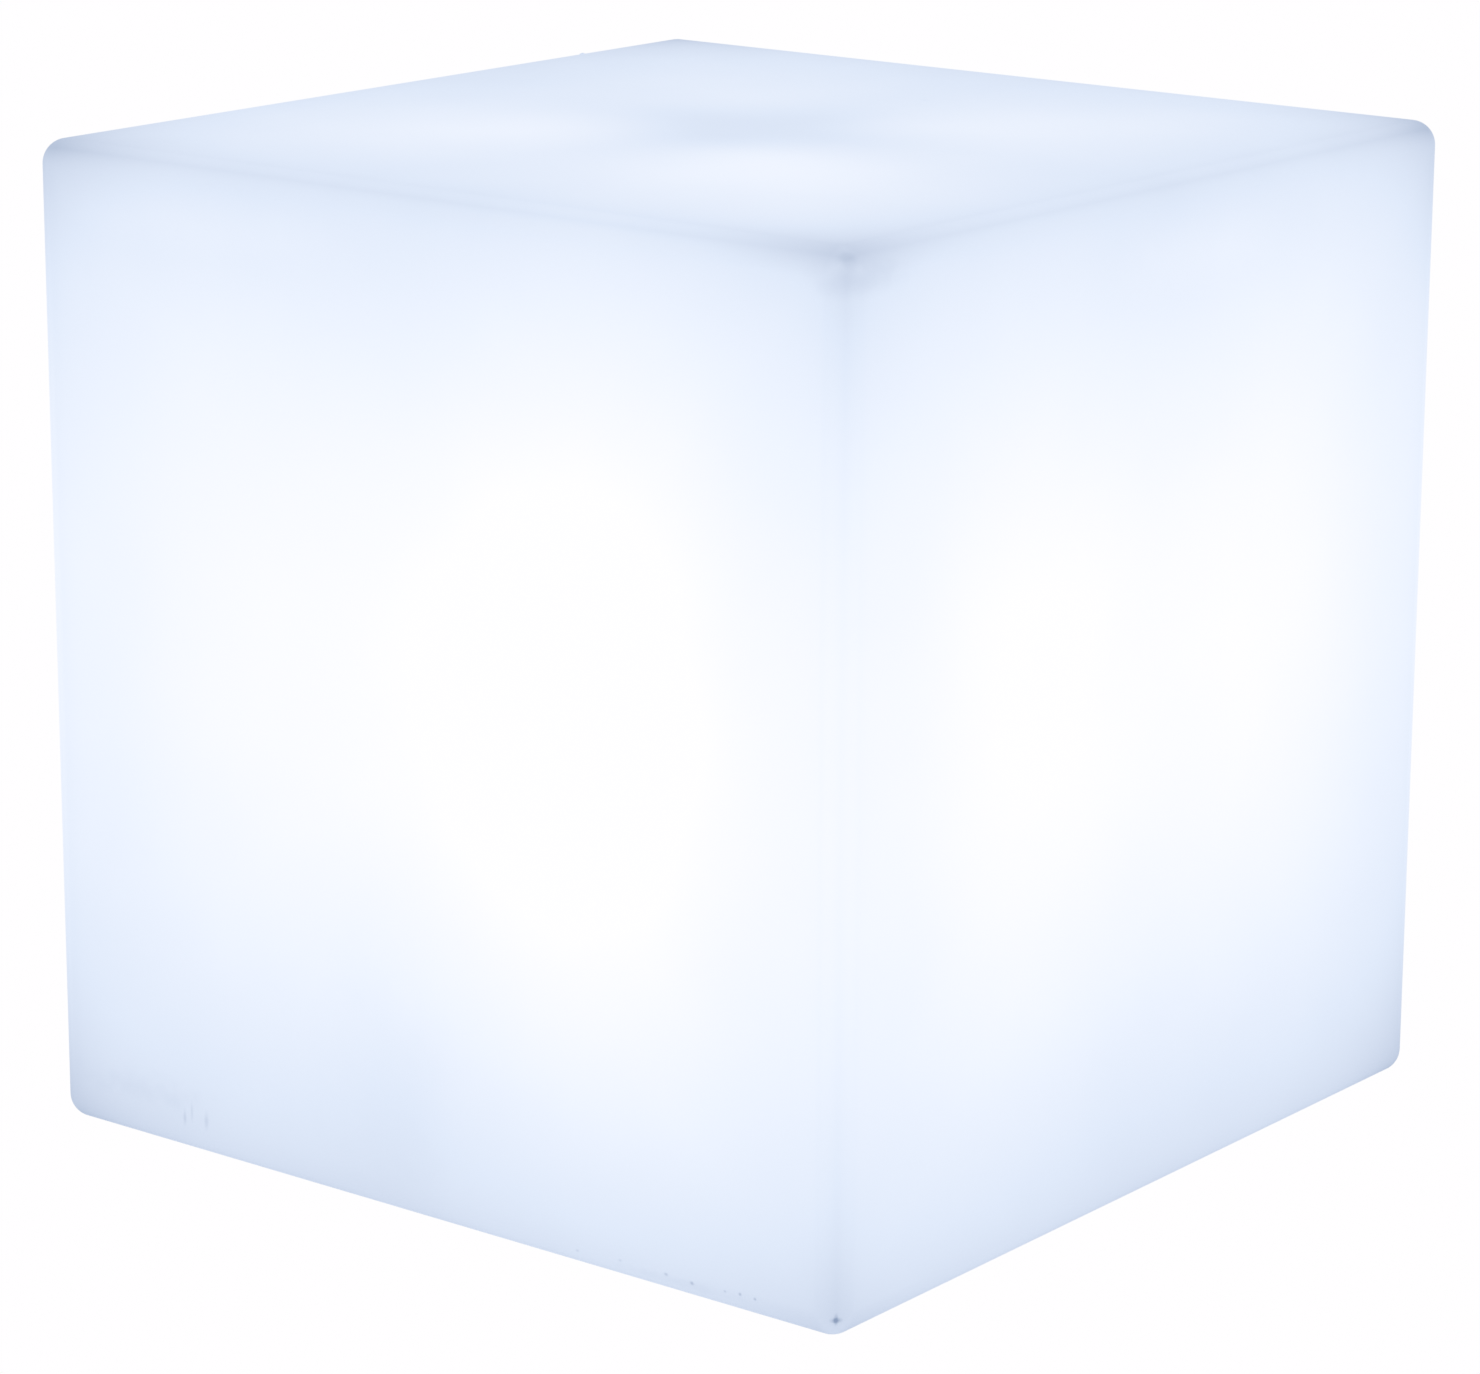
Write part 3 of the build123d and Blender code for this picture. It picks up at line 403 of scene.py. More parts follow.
@dataclass(frozen=True)
class SoftRubber(Finish):
    """Moulded rubber or silicone: matt, with the faint bloom and dust that soft surfaces hold."""

    colour: str
    bloom: str
    roughness: float
    roughness_spread: Flat = (-0.06, 0.1)
    cloud_width: float = 9.0
    bloom_range: Flat = (0.45, 0.85)
    most_bloom: float = 0.6
    pore_width: float = 0.6
    pore_depth: float = 0.2
    relief: float = 0.1
    ior: float = 1.45

    def build(self) -> Material:
        """Make the material. Bloom lies in clouds, and the pores are as coarse as they need to show."""
        material, tree, place = self.start()
        clouds = {"Vector": place, "Scale": 1 / self.cloud_width, "Detail": 5.0, "Roughness": 0.65}
        cloud = add_node(tree, "ShaderNodeTexNoise", clouds)
        low, high = self.bloom_range
        stops = {
            "Value": cloud, "From Min": low, "From Max": high, "To Min": 0.0, "To Max": self.most_bloom
        }
        share = add_node(tree, "ShaderNodeMapRange", stops)
        colours = {"Factor": share, "A": srgb(self.colour), "B": srgb(self.bloom)}
        colour = add_node(tree, "ShaderNodeMix", colours, data_type="RGBA")
        fine = {"Vector": place, "Scale": 1 / self.pore_width, "Detail": 2.0}
        pores = add_node(tree, "ShaderNodeTexNoise", fine)
        less, more = self.roughness_spread
        dulling = (cloud, self.roughness + less, self.roughness + more)
        sockets = {"Base Color": colour.outputs["Result"], "IOR": self.ior}
        self.close_surface(tree, dulling, (pores, self.pore_depth, self.relief), sockets)
        return material


class MetalWork(Enum):
    """How metal was worked: the width of its marks in millimetres along X, Y and Z, and their depth."""

    TUMBLED = ((1.2, 1.2, 1.2), 0.12)
    EXTRUDED = ((0.5, 0.5, 60.0), 0.10)
    ROLLED = ((14.0, 0.6, 0.6), 0.08)


@dataclass(frozen=True)
class WorkedMetal(Finish):
    """Bare or plated metal: bright, with the fine marks that its making leaves."""

    colour: str
    shade: str
    work: MetalWork
    roughness: float
    roughness_spread: Flat = (-0.1, 0.12)
    tint_width: float = 6.0
    relief: float = 0.1

    def build(self) -> Material:
        """Make the material. Real marks are hundredths of a millimetre wide: they are drawn coarser."""
        material, tree, place = self.start()
        widths, depth = self.work.value
        spread = tuple(1 / width for width in widths)
        along = add_node(tree, VECTOR_MATHS, [place, spread], operation="MULTIPLY")
        marks = add_node(tree, "ShaderNodeTexNoise", {"Vector": along, "Scale": 1.0, "Detail": 4.0})
        drift = {"Vector": place, "Scale": 1 / self.tint_width, "Detail": 2.0}
        tint = add_node(tree, "ShaderNodeTexNoise", drift)
        colours = {"Factor": tint, "A": srgb(self.colour), "B": srgb(self.shade)}
        colour = add_node(tree, "ShaderNodeMix", colours, data_type="RGBA")
        less, more = self.roughness_spread
        dulling = (marks, self.roughness + less, self.roughness + more)
        sockets = {"Base Color": colour.outputs["Result"], "Metallic": 1.0}
        self.close_surface(tree, dulling, (marks, depth, self.relief), sockets)
        return material


@dataclass(frozen=True)
class ClearPlastic(Finish):
    """Clear moulded polycarbonate: see-through and bright, with a slight ripple from the mould."""

    tint: str
    roughness_range: Flat = (0.02, 0.07)
    ripple_width: float = 14.0
    ripple_depth: float = 0.05
    relief: float = 0.2
    ior: float = 1.585

    def build(self) -> Material:
        """Make the material."""
        material, tree, place = self.start()
        flow = {"Vector": place, "Scale": 1 / self.ripple_width, "Detail": 1.0}
        ripple = add_node(tree, "ShaderNodeTexNoise", flow)
        sockets = {"Base Color": srgb(self.tint), "IOR": self.ior, "Transmission Weight": 1.0}
        relief = (ripple, self.ripple_depth, self.relief)
        self.close_surface(tree, (ripple, *self.roughness_range), relief, sockets)
        return material


@dataclass(frozen=True)
class SolderMask(Finish):
    """A printed board: copper tracks that show through a coat of solder mask."""

    mask: str
    track: str
    pitch: float
    half_track: float = 0.3
    track_length: float = 4.0
    track_depth: float = 0.3
    relief: float = 0.05
    haze_width: float = 5.0
    roughness_range: Flat = (0.22, 0.38)
    ior: float = 1.5

    def build(self) -> Material:
        """Make the material. Tracks are 0.3 mm wide on a real board: these are twice that."""
        material, tree, place = self.start()
        sockets = {"Vector": place, "Color1": srgb(self.mask), "Color2": srgb(self.mask)}
        sockets |= {"Mortar": srgb(self.track), "Scale": 1.0, "Mortar Size": self.half_track}
        sockets |= {"Brick Width": self.track_length * self.pitch, "Row Height": self.pitch}
        tracks = add_node(tree, "ShaderNodeTexBrick", sockets)
        clouds = {"Vector": place, "Scale": 1 / self.haze_width, "Detail": 3.0}
        haze = add_node(tree, "ShaderNodeTexNoise", clouds)
        relief = (tracks.outputs["Fac"], self.track_depth, self.relief)
        dulling = (haze, *self.roughness_range)
        self.close_surface(tree, dulling, relief, {"Base Color": tracks, "IOR": self.ior})
        return material


@dataclass(frozen=True)
class LitPhosphor(Finish):
    """A light-emitting chip at work: yellow phosphor under a clear dome, bright in its middle."""

    colour: str
    light: str
    strength: float
    grit_width: float = 0.4
    roughness: float = 0.35
    ior: float = 1.5

    def build(self) -> Material:
        """Make the material."""
        material, tree, place = self.start()
        fine = {"Vector": place, "Scale": 1 / self.grit_width, "Detail": 2.0}
        grit = add_node(tree, "ShaderNodeTexNoise", fine)
        colours = {"Factor": grit, "A": srgb(self.colour), "B": srgb(self.light)}
        colour = add_node(tree, "ShaderNodeMix", colours, data_type="RGBA").outputs["Result"]
        sockets = {"Base Color": colour, "Roughness": self.roughness, "IOR": self.ior}
        self.close(tree, sockets | {"Emission Color": colour, "Emission Strength": self.strength})
        return material


@dataclass(frozen=True)
class LampStrip:
    """One side of the lamp as the skin sees it: the way it faces in degrees, and its strength."""

    facing: float
    strength: float


@dataclass(frozen=True)
class MarkOrShade:
    """A scuff or speck on the skin, or a patch of soft painted shade or painted light in its glow.

    It has a place, a half size each way, how much it dims, how ragged it is, and a turn about Z in degrees.
    """

    place: Place
    size: Place
    # Below 0 where the patch is painted light
    dims: float
    rag: float = 0.5
    turn: float = 0.0


@dataclass(frozen=True)
class GlowingPolyethylene(Finish):
    """Rotomoulded polyethylene, milky and satin, lit through by the lamp in the middle of the cube.

    The light at a point follows its distance and angle from the lamp's four strips, which gives each side
    two soft lobes with a dip between them. Towards the rounded edges the wall turns away and dims.

    The strips here aren't the solids' strips. Their length, place, facing and strength, the dims and the
    gains are fitted to the three sides that the photograph shows.

    Sides, heights, radii and widths are in millimetres. A reach or range is a share of the cube's side, and
    a dim, gain, level or light is a share of full white.
    """

    side: float
    height: float
    low: float
    strips: tuple[LampStrip, ...]
    # Scuffs, specks and dust, and soft patches of painted shade and painted light
    marks: tuple[MarkOrShade, ...]
    recess_radius: float
    recess_roof: float
    recess_level: Flat = (0.62, 0.44)
    recess_fade: float = 12.0
    recess_margin: float = 8.0
    even: float = 0.6892
    top_gain: float = 0.024
    rise: float = 0.0339
    edge_dim: float = 0.0756
    edge_reach: float = 0.1626
    rim_dim: float = 0.2
    rim_reach: float = 0.01
    front_rim_dim: float = 0.098
    front_rim_range: Flat = (-0.028, -0.0073)
    corner_dim: float = 0.39
    corner_reach: float = 0.085
    side_corner_gain: Flat = (0.05, 0.2)
    top_corner_gain: Flat = (-0.35, 0.44)
    top_range: Flat = (0.975, 0.998)
    floor_dim: float = 0.025
    floor_reach: float = 0.06
    upright_gain: float = 0.075
    upright_reach: float = 0.08
    strip_middle: float = 0.5292
    strip_half: float = 0.347
    strip_points: int = 5
    strip_out: float = 0.01
    lamp_shift: Flat = (0.0038, 0.0007)
    lobe_sharpness: float = 3.23
    room_light: float = 0.27
    low_room_light: float = 0.1
    recess_glow: float = 0.45
    front_range: Flat = (0.9, 0.97)
    mark_rag_width: float = 7.0
    mottle_width: float = 46.0
    mottle: float = 0.006
    mottle_range: Flat = (0.3, 0.7)
    shown_range: Flat = (0.3, 1.0)
    grain_width: float = 0.9
    grain_share: float = 0.35
    peel_width: float = 6.0
    peel_depth: float = 0.12
    relief: float = 0.2
    roughness_range: Flat = (0.42, 0.56)
    ior: float = 1.51
    colour: str = "#f2f5fa"

    def point_group(self) -> Tree:
        """Make the node group for the light that one point of a strip sends to the skin.

        Returns:
            The group, with the place, normal, source and facing as its inputs.
        """
        group = bpy.data.node_groups.new("light from one point", "ShaderNodeTree")
        for name in ("Place", "Normal", "Source", "Facing"):
            group.interface.new_socket(name, in_out="INPUT", socket_type="NodeSocketVector")
        group.interface.new_socket("Light", in_out="OUTPUT", socket_type="NodeSocketFloat")
        given = add_node(group, "NodeGroupInput").outputs
        ray = add_node(group, VECTOR_MATHS, [given["Place"], given["Source"]], operation="SUBTRACT")
        reach = add_node(group, VECTOR_MATHS, [ray], operation="LENGTH").outputs["Value"]
        aim = add_node(group, VECTOR_MATHS, [ray], operation="NORMALIZE")
        ahead = add_node(group, VECTOR_MATHS, [given["Facing"], aim], operation="DOT_PRODUCT")
        onto = add_node(group, VECTOR_MATHS, [given["Normal"], aim], operation="DOT_PRODUCT")
        front = add_node(group, MATHS, [ahead.outputs["Value"], 0.0], operation="MAXIMUM")
        lobe = add_node(group, MATHS, [front, self.lobe_sharpness], operation="POWER")
        fall = add_node(group, MATHS, [onto.outputs["Value"], 0.0], operation="MAXIMUM")
        light = add_node(group, MATHS, [lobe, fall], operation="MULTIPLY")
        spread = add_node(group, MATHS, [reach, 2.0], operation="POWER")
        thinned = add_node(group, MATHS, [light, spread], operation="DIVIDE")
        add_node(group, "NodeGroupOutput", [thinned])
        return group

    def lamp_light(self, tree: Tree, share: Node) -> Node:
        """Add up the light of every strip.

        Args:
            tree: The material's tree.
            share: The place on the cube in shares of its side.

        Returns:
            The node that gives the light.
        """
        group = self.point_group()
        normal = add_node(tree, "ShaderNodeNewGeometry").outputs["Normal"]
        total = None
        for strip in self.strips:
            angle = math.radians(strip.facing)
            facing = (math.cos(angle), math.sin(angle), 0.0)
            for point in range(self.strip_points):
                step = (point + 0.5) / self.strip_points * 2 - 1
                source = (
                    self.lamp_shift[0] + self.strip_out * facing[0],
                    self.lamp_shift[1] + self.strip_out * facing[1],
                    self.strip_middle + self.strip_half * step,
                )
                sockets = {"Place": share, "Normal": normal, "Source": source, "Facing": facing}
                light = add_node(tree, "ShaderNodeGroup", sockets, node_tree=group)
                weight = strip.strength / self.strip_points
                total = add_node(tree, MATHS, [light, weight, total or 0.0], operation="MULTIPLY_ADD")
        return total

    def top_share(self, tree: Tree, share: Node) -> Node:
        """Find the top face, with a soft change over its rounded edges.

        Args:
            tree: The material's tree.
            share: The place on the cube in shares of its side.

        Returns:
            The node that gives 1 on the top and 0 on the sides.
        """
        height = add_node(tree, "ShaderNodeSeparateXYZ", [share]).outputs["Z"]
        low, high = self.top_range
        reach = {"Value": height, "From Min": low, "From Max": high}
        return add_node(tree, "ShaderNodeMapRange", reach, interpolation_type="SMOOTHSTEP")

    def edge_shade(self, tree: Tree, share: Node) -> Node:
        """Work out how much light is left near the rounded edges.

        Every edge dims the wall over a wide and a narrow reach, its corners dim it more, and so does the
        floor. The upright edges win some light back, and the front one wins most, as the brightest strip
        faces it.

        Args:
            tree: The material's tree.
            share: The place on the cube in shares of its side.

        Returns:
            The node that gives the share of light that is left.
        """
        # Shares outwards go from 0 in the middle of the cube to 0.5 at its sides. Of a wall's three, the
        # second largest nears 0.5 at an edge, and the least one nears it at a corner
        middle = add_node(tree, VECTOR_MATHS, [share, (0.0, 0.0, 0.5)], operation="SUBTRACT")
        outwards = add_node(tree, VECTOR_MATHS, [middle], operation="ABSOLUTE")
        x, y, z = add_node(tree, "ShaderNodeSeparateXYZ", [outwards]).outputs
        towards_front = add_node(tree, VECTOR_MATHS, [middle, (0.5, -0.5, 0.0)], operation="DOT_PRODUCT")
        front = add_node(tree, MATHS, [towards_front.outputs["Value"], 0.5], operation="ADD")
        wide = add_node(tree, MATHS, [x, y], operation="MAXIMUM")
        thin = add_node(tree, MATHS, [x, y], operation="MINIMUM")
        inner = add_node(tree, MATHS, [wide, z], operation="MINIMUM")
        second = add_node(tree, MATHS, [inner, thin], operation="MAXIMUM")
        least = add_node(tree, MATHS, [thin, z], operation="MINIMUM")
        near = add_node(tree, MATHS, [second, 0.5], operation="SUBTRACT")
        cornered = add_node(tree, MATHS, [least, 0.5], operation="SUBTRACT")
        both = add_node(tree, MATHS, [near, cornered], operation="ADD")
        down = add_node(tree, VECTOR_MATHS, [share, (0.0, 0.0, -1.0)], operation="DOT_PRODUCT")
        # A corner dims least at the front, and on the top face most at the left and the right
        top = self.top_share(tree, share)
        bent, squared = (
            add_node(tree, "ShaderNodeMix", {"Factor": top, "A": on_side, "B": on_top}, data_type="FLOAT")
            for on_side, on_top in zip(self.side_corner_gain, self.top_corner_gain)
        )
        steep = add_node(tree, MATHS, [front, squared, bent], operation="MULTIPLY_ADD")
        corner_amount = add_node(tree, MATHS, [front, steep, -self.corner_dim], operation="MULTIPLY_ADD")
        # At the front upright edge the rim fades in a straight line, so that no dark line shows there
        first, last = self.front_range
        reach = {"Value": front, "From Min": first, "From Max": last}
        at_front = add_node(tree, "ShaderNodeMapRange", reach, interpolation_type="SMOOTHSTEP")
        rim_amount = add_node(
            tree, MATHS, [at_front, self.rim_dim, -self.rim_dim], operation="MULTIPLY_ADD"
        )
        low, high = self.front_rim_range
        straight = {
            "Value": near, "From Min": low, "From Max": high, "To Min": 0.0, "To Max": self.front_rim_dim
        }
        front_rim = add_node(tree, "ShaderNodeMapRange", straight)
        front_dim = add_node(tree, MATHS, [front_rim, at_front], operation="MULTIPLY")
        left = add_node(tree, MATHS, [1.0, front_dim], operation="SUBTRACT")
        for amount, reach, distance in (
            (-self.edge_dim, self.edge_reach, near),
            (rim_amount, self.rim_reach, near),
            (-self.floor_dim, self.floor_reach, down.outputs["Value"]),
            (corner_amount, self.corner_reach, both),
        ):
            fade = add_node(tree, MATHS, [distance, reach], operation="DIVIDE")
            grown = add_node(tree, MATHS, [fade], operation="EXPONENT")
            kept = add_node(tree, MATHS, [grown, amount, 1.0], operation="MULTIPLY_ADD")
            left = add_node(tree, MATHS, [left, kept], operation="MULTIPLY")
        # What an upright edge wins back fades away from it, and towards the floor and the top
        upright = add_node(tree, MATHS, [thin, 0.5], operation="SUBTRACT")
        spread = add_node(tree, MATHS, [upright, self.upright_reach], operation="DIVIDE")
        squared = add_node(tree, MATHS, [spread, spread], operation="MULTIPLY")
        falling = add_node(tree, MATHS, [squared, -1.0], operation="MULTIPLY")
        lobe = add_node(tree, MATHS, [falling], operation="EXPONENT")
        doubled = add_node(tree, MATHS, [z, 2.0], operation="MULTIPLY")
        raised = add_node(tree, MATHS, [doubled, 3.0], operation="POWER")
        inside = add_node(tree, MATHS, [1.0, raised], operation="SUBTRACT")
        share_left = add_node(tree, MATHS, [lobe, inside], operation="MULTIPLY")
        gained = add_node(tree, MATHS, [share_left, front], operation="MULTIPLY")
        gain = add_node(tree, MATHS, [gained, self.upright_gain, 1.0], operation="MULTIPLY_ADD")
        return add_node(tree, MATHS, [left, gain], operation="MULTIPLY")

    def add_marks_and_shades(self, tree: Tree, place: Node, level: Node) -> Node:
        """Dim the light where the skin is scuffed, dusty or nicked, and add soft painted shade and painted
        light to the glow.

        Args:
            tree: The material's tree.
            place: The place in millimetres.
            level: The light before the marks.

        Returns:
            The node that gives the light with the marks.
        """
        fine = {"Vector": place, "Scale": 1 / self.mark_rag_width, "Detail": 4.0}
        ragged = add_node(tree, "ShaderNodeTexNoise", fine)
        for mark in self.marks:
            away = add_node(tree, VECTOR_MATHS, [place, mark.place], operation="SUBTRACT")
            if mark.turn:
                turned = {"Vector": away, "Angle": -math.radians(mark.turn)}
                away = add_node(tree, "ShaderNodeVectorRotate", turned, rotation_type="Z_AXIS")
            sized = add_node(tree, VECTOR_MATHS, [away, mark.size], operation="DIVIDE")
            distance = add_node(tree, VECTOR_MATHS, [sized], operation="LENGTH").outputs["Value"]
            torn = add_node(tree, MATHS, [ragged, 2 * mark.rag, distance], operation="MULTIPLY_ADD")
            fade = {"Value": torn, "From Min": mark.rag, "From Max": 1.0 + mark.rag}
            fade |= {"To Min": -mark.dims, "To Max": 0.0}
            drop = add_node(tree, "ShaderNodeMapRange", fade, interpolation_type="SMOOTHSTEP")
            level = add_node(tree, MATHS, [level, drop], operation="ADD")
        return level

    def base_level(self, tree: Tree, place: Node) -> Node:
        """Work out how bright the skin is before its marks, as a share of full white.

        Args:
            tree: The material's tree.
            place: The place in millimetres.

        Returns:
            The node that gives the level.
        """
        lowered = add_node(tree, VECTOR_MATHS, [place, (0.0, 0.0, self.low)], operation="SUBTRACT")
        scale = (1 / self.side, 1 / self.side, 1 / self.height)
        share = add_node(tree, VECTOR_MATHS, [lowered, scale], operation="MULTIPLY")
        height = add_node(tree, "ShaderNodeSeparateXYZ", [share]).outputs["Z"]
        light = self.lamp_light(tree, share)
        lit = add_node(tree, MATHS, [light, self.even - self.rise / 2], operation="ADD")
        risen = add_node(tree, MATHS, [height, self.rise, lit], operation="MULTIPLY_ADD")
        top = self.top_share(tree, share)
        topped = add_node(tree, MATHS, [top, self.top_gain, risen], operation="MULTIPLY_ADD")
        return add_node(tree, MATHS, [topped, self.edge_shade(tree, share)], operation="MULTIPLY")

    def recess_share(self, tree: Tree, place: Node) -> Node:
        """Find the recess under the cube.

        Args:
            tree: The material's tree.
            place: The place in millimetres.

        Returns:
            The node that gives 1 in the recess and 0 away from it.
        """
        flat = add_node(tree, VECTOR_MATHS, [place, (1.0, 1.0, 0.0)], operation="MULTIPLY")
        radius = add_node(tree, VECTOR_MATHS, [flat], operation="LENGTH").outputs["Value"]
        height = add_node(tree, "ShaderNodeSeparateXYZ", [place]).outputs["Z"]
        edge = {"From Min": self.recess_radius + self.recess_fade, "From Max": self.recess_radius}
        within = add_node(
            tree, "ShaderNodeMapRange", edge | {"Value": radius, "To Min": 0.0, "To Max": 1.0}
        )
        ceiling = self.recess_roof + self.recess_margin
        under = add_node(tree, MATHS, [height, ceiling], operation="LESS_THAN")
        return add_node(tree, MATHS, [within, under], operation="MULTIPLY")

    def shade_recess(self, tree: Tree, place: Node, level: Node, share: Node) -> Node:
        """Dim the recess under the cube, where the lamp module blocks the light.

        Args:
            tree: The material's tree.
            place: The place in millimetres.
            level: The light before it is dimmed.
            share: 1 in the recess and 0 away from it.

        Returns:
            The node that gives the light.
        """
        height = add_node(tree, "ShaderNodeSeparateXYZ", [place]).outputs["Z"]
        mouth, roof = self.recess_level
        fade = {"From Min": self.low, "From Max": self.recess_roof, "To Min": mouth, "To Max": roof}
        depth = add_node(tree, "ShaderNodeMapRange", fade | {"Value": height})
        return add_node(tree, "ShaderNodeMix", {"Factor": share, "A": level, "B": depth}, data_type="FLOAT")

    def own_glow(self, tree: Tree, shown: Node, share: Node) -> Node:
        """Take the room light that the skin throws back off the colour that it should show.

        There is more room light below, over the low softbox. The recess gets little, and lights itself.

        Args:
            tree: The material's tree.
            shown: The colour that the skin should show.
            share: 1 in the recess and 0 away from it.

        Returns:
            The node that gives the glow.
        """
        normal = add_node(tree, "ShaderNodeNewGeometry").outputs["Normal"]
        down = add_node(tree, VECTOR_MATHS, [normal, (0.0, 0.0, -1.0)], operation="DOT_PRODUCT")
        facing = add_node(tree, MATHS, [down.outputs["Value"], 0.0], operation="MAXIMUM")
        room = add_node(
            tree, MATHS, [facing, self.low_room_light, self.room_light], operation="MULTIPLY_ADD"
        )
        grey = add_node(tree, "ShaderNodeCombineXYZ", [room, room, room])
        outside = add_node(tree, VECTOR_MATHS, [shown, grey], operation="SUBTRACT")
        within = add_node(
            tree, VECTOR_MATHS, {"Vector": shown, "Scale": self.recess_glow}, operation="SCALE"
        )
        glow = add_node(
            tree, "ShaderNodeMix", {"Factor": share, "A": outside, "B": within}, data_type="VECTOR"
        )
        return add_node(tree, VECTOR_MATHS, [glow.outputs["Result"], (0.0, 0.0, 0.0)], operation="MAXIMUM")

    def build(self) -> Material:
        """Make the material. The wall varies by a few tenths of a millimetre, which mottles its glow."""
        material, tree, place = self.start()
        recess = self.recess_share(tree, place)
        level = self.shade_recess(tree, place, self.base_level(tree, place), recess)
        clouds = {"Vector": place, "Scale": 1 / self.mottle_width, "Detail": 3.0, "Roughness": 0.45}
        cloud = add_node(tree, "ShaderNodeTexNoise", clouds)
        thin, thick = self.mottle_range
        spread = {"From Min": thin, "From Max": thick, "To Min": -self.mottle, "To Max": self.mottle}
        mottle = add_node(tree, "ShaderNodeMapRange", spread | {"Value": cloud})
        level = add_node(tree, MATHS, [level, mottle], operation="ADD")
        # Scuffs, specks and dust dim the glow, and a few soft patches are painted shade and painted light
        level = self.add_marks_and_shades(tree, place, level)
        low, high = self.shown_range
        shown = {"Value": level, "From Min": low, "From Max": high, "To Min": 0.0, "To Max": 1.0}
        ramp = add_node(tree, "ShaderNodeValToRGB", [add_node(tree, "ShaderNodeMapRange", shown)])
        # The dimmer the plastic, the bluer: white where the lamp is near, and ice blue at the corners
        blues = [(0.0, "#8fa0bb"), (0.443, "#cdd7e9"), (0.647, "#e1eaf9"), (0.816, "#f0f5ff")]
        set_stops(ramp, [*blues, (1.0, "#fffeff")])
        glow = self.own_glow(tree, ramp, recess)
        # Rotomoulding leaves a satin skin: powder melts against sand-blasted aluminium, grain about 0.4 mm,
        # which is drawn twice as wide so that it shows
        fine = {"Vector": place, "Scale": 1 / self.grain_width, "Detail": 3.0}
        grain = add_node(tree, "ShaderNodeTexNoise", fine)
        coarse = {"Vector": place, "Scale": 1 / self.peel_width, "Detail": 2.0}
        peel = add_node(tree, "ShaderNodeTexNoise", coarse)
        skin = add_node(tree, MATHS, [grain, self.grain_share, peel], operation="MULTIPLY_ADD")
        sockets = {"Base Color": srgb(self.colour), "IOR": self.ior}
        sockets |= {"Emission Color": glow, "Emission Strength": 1.0}
        relief = (skin, self.peel_depth, self.relief)
        self.close_surface(tree, (grain, *self.roughness_range), relief, sockets)
        return material


# Pieces


def dress(piece: Piece, body: str, slot: str, *nodes: str) -> None:
    """Send a finished piece on its body.

    Args:
        piece: The piece.
        body: The body that carries it.
        slot: The record's material slot of its finish. It is not used.
        nodes: The CAD nodes that it stands for.
    """
    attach(piece, body)
    if nodes:
        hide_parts(*nodes)
    LOG.info("%s: %d faces on body %s", piece.name, len(piece.data.polygons), body)


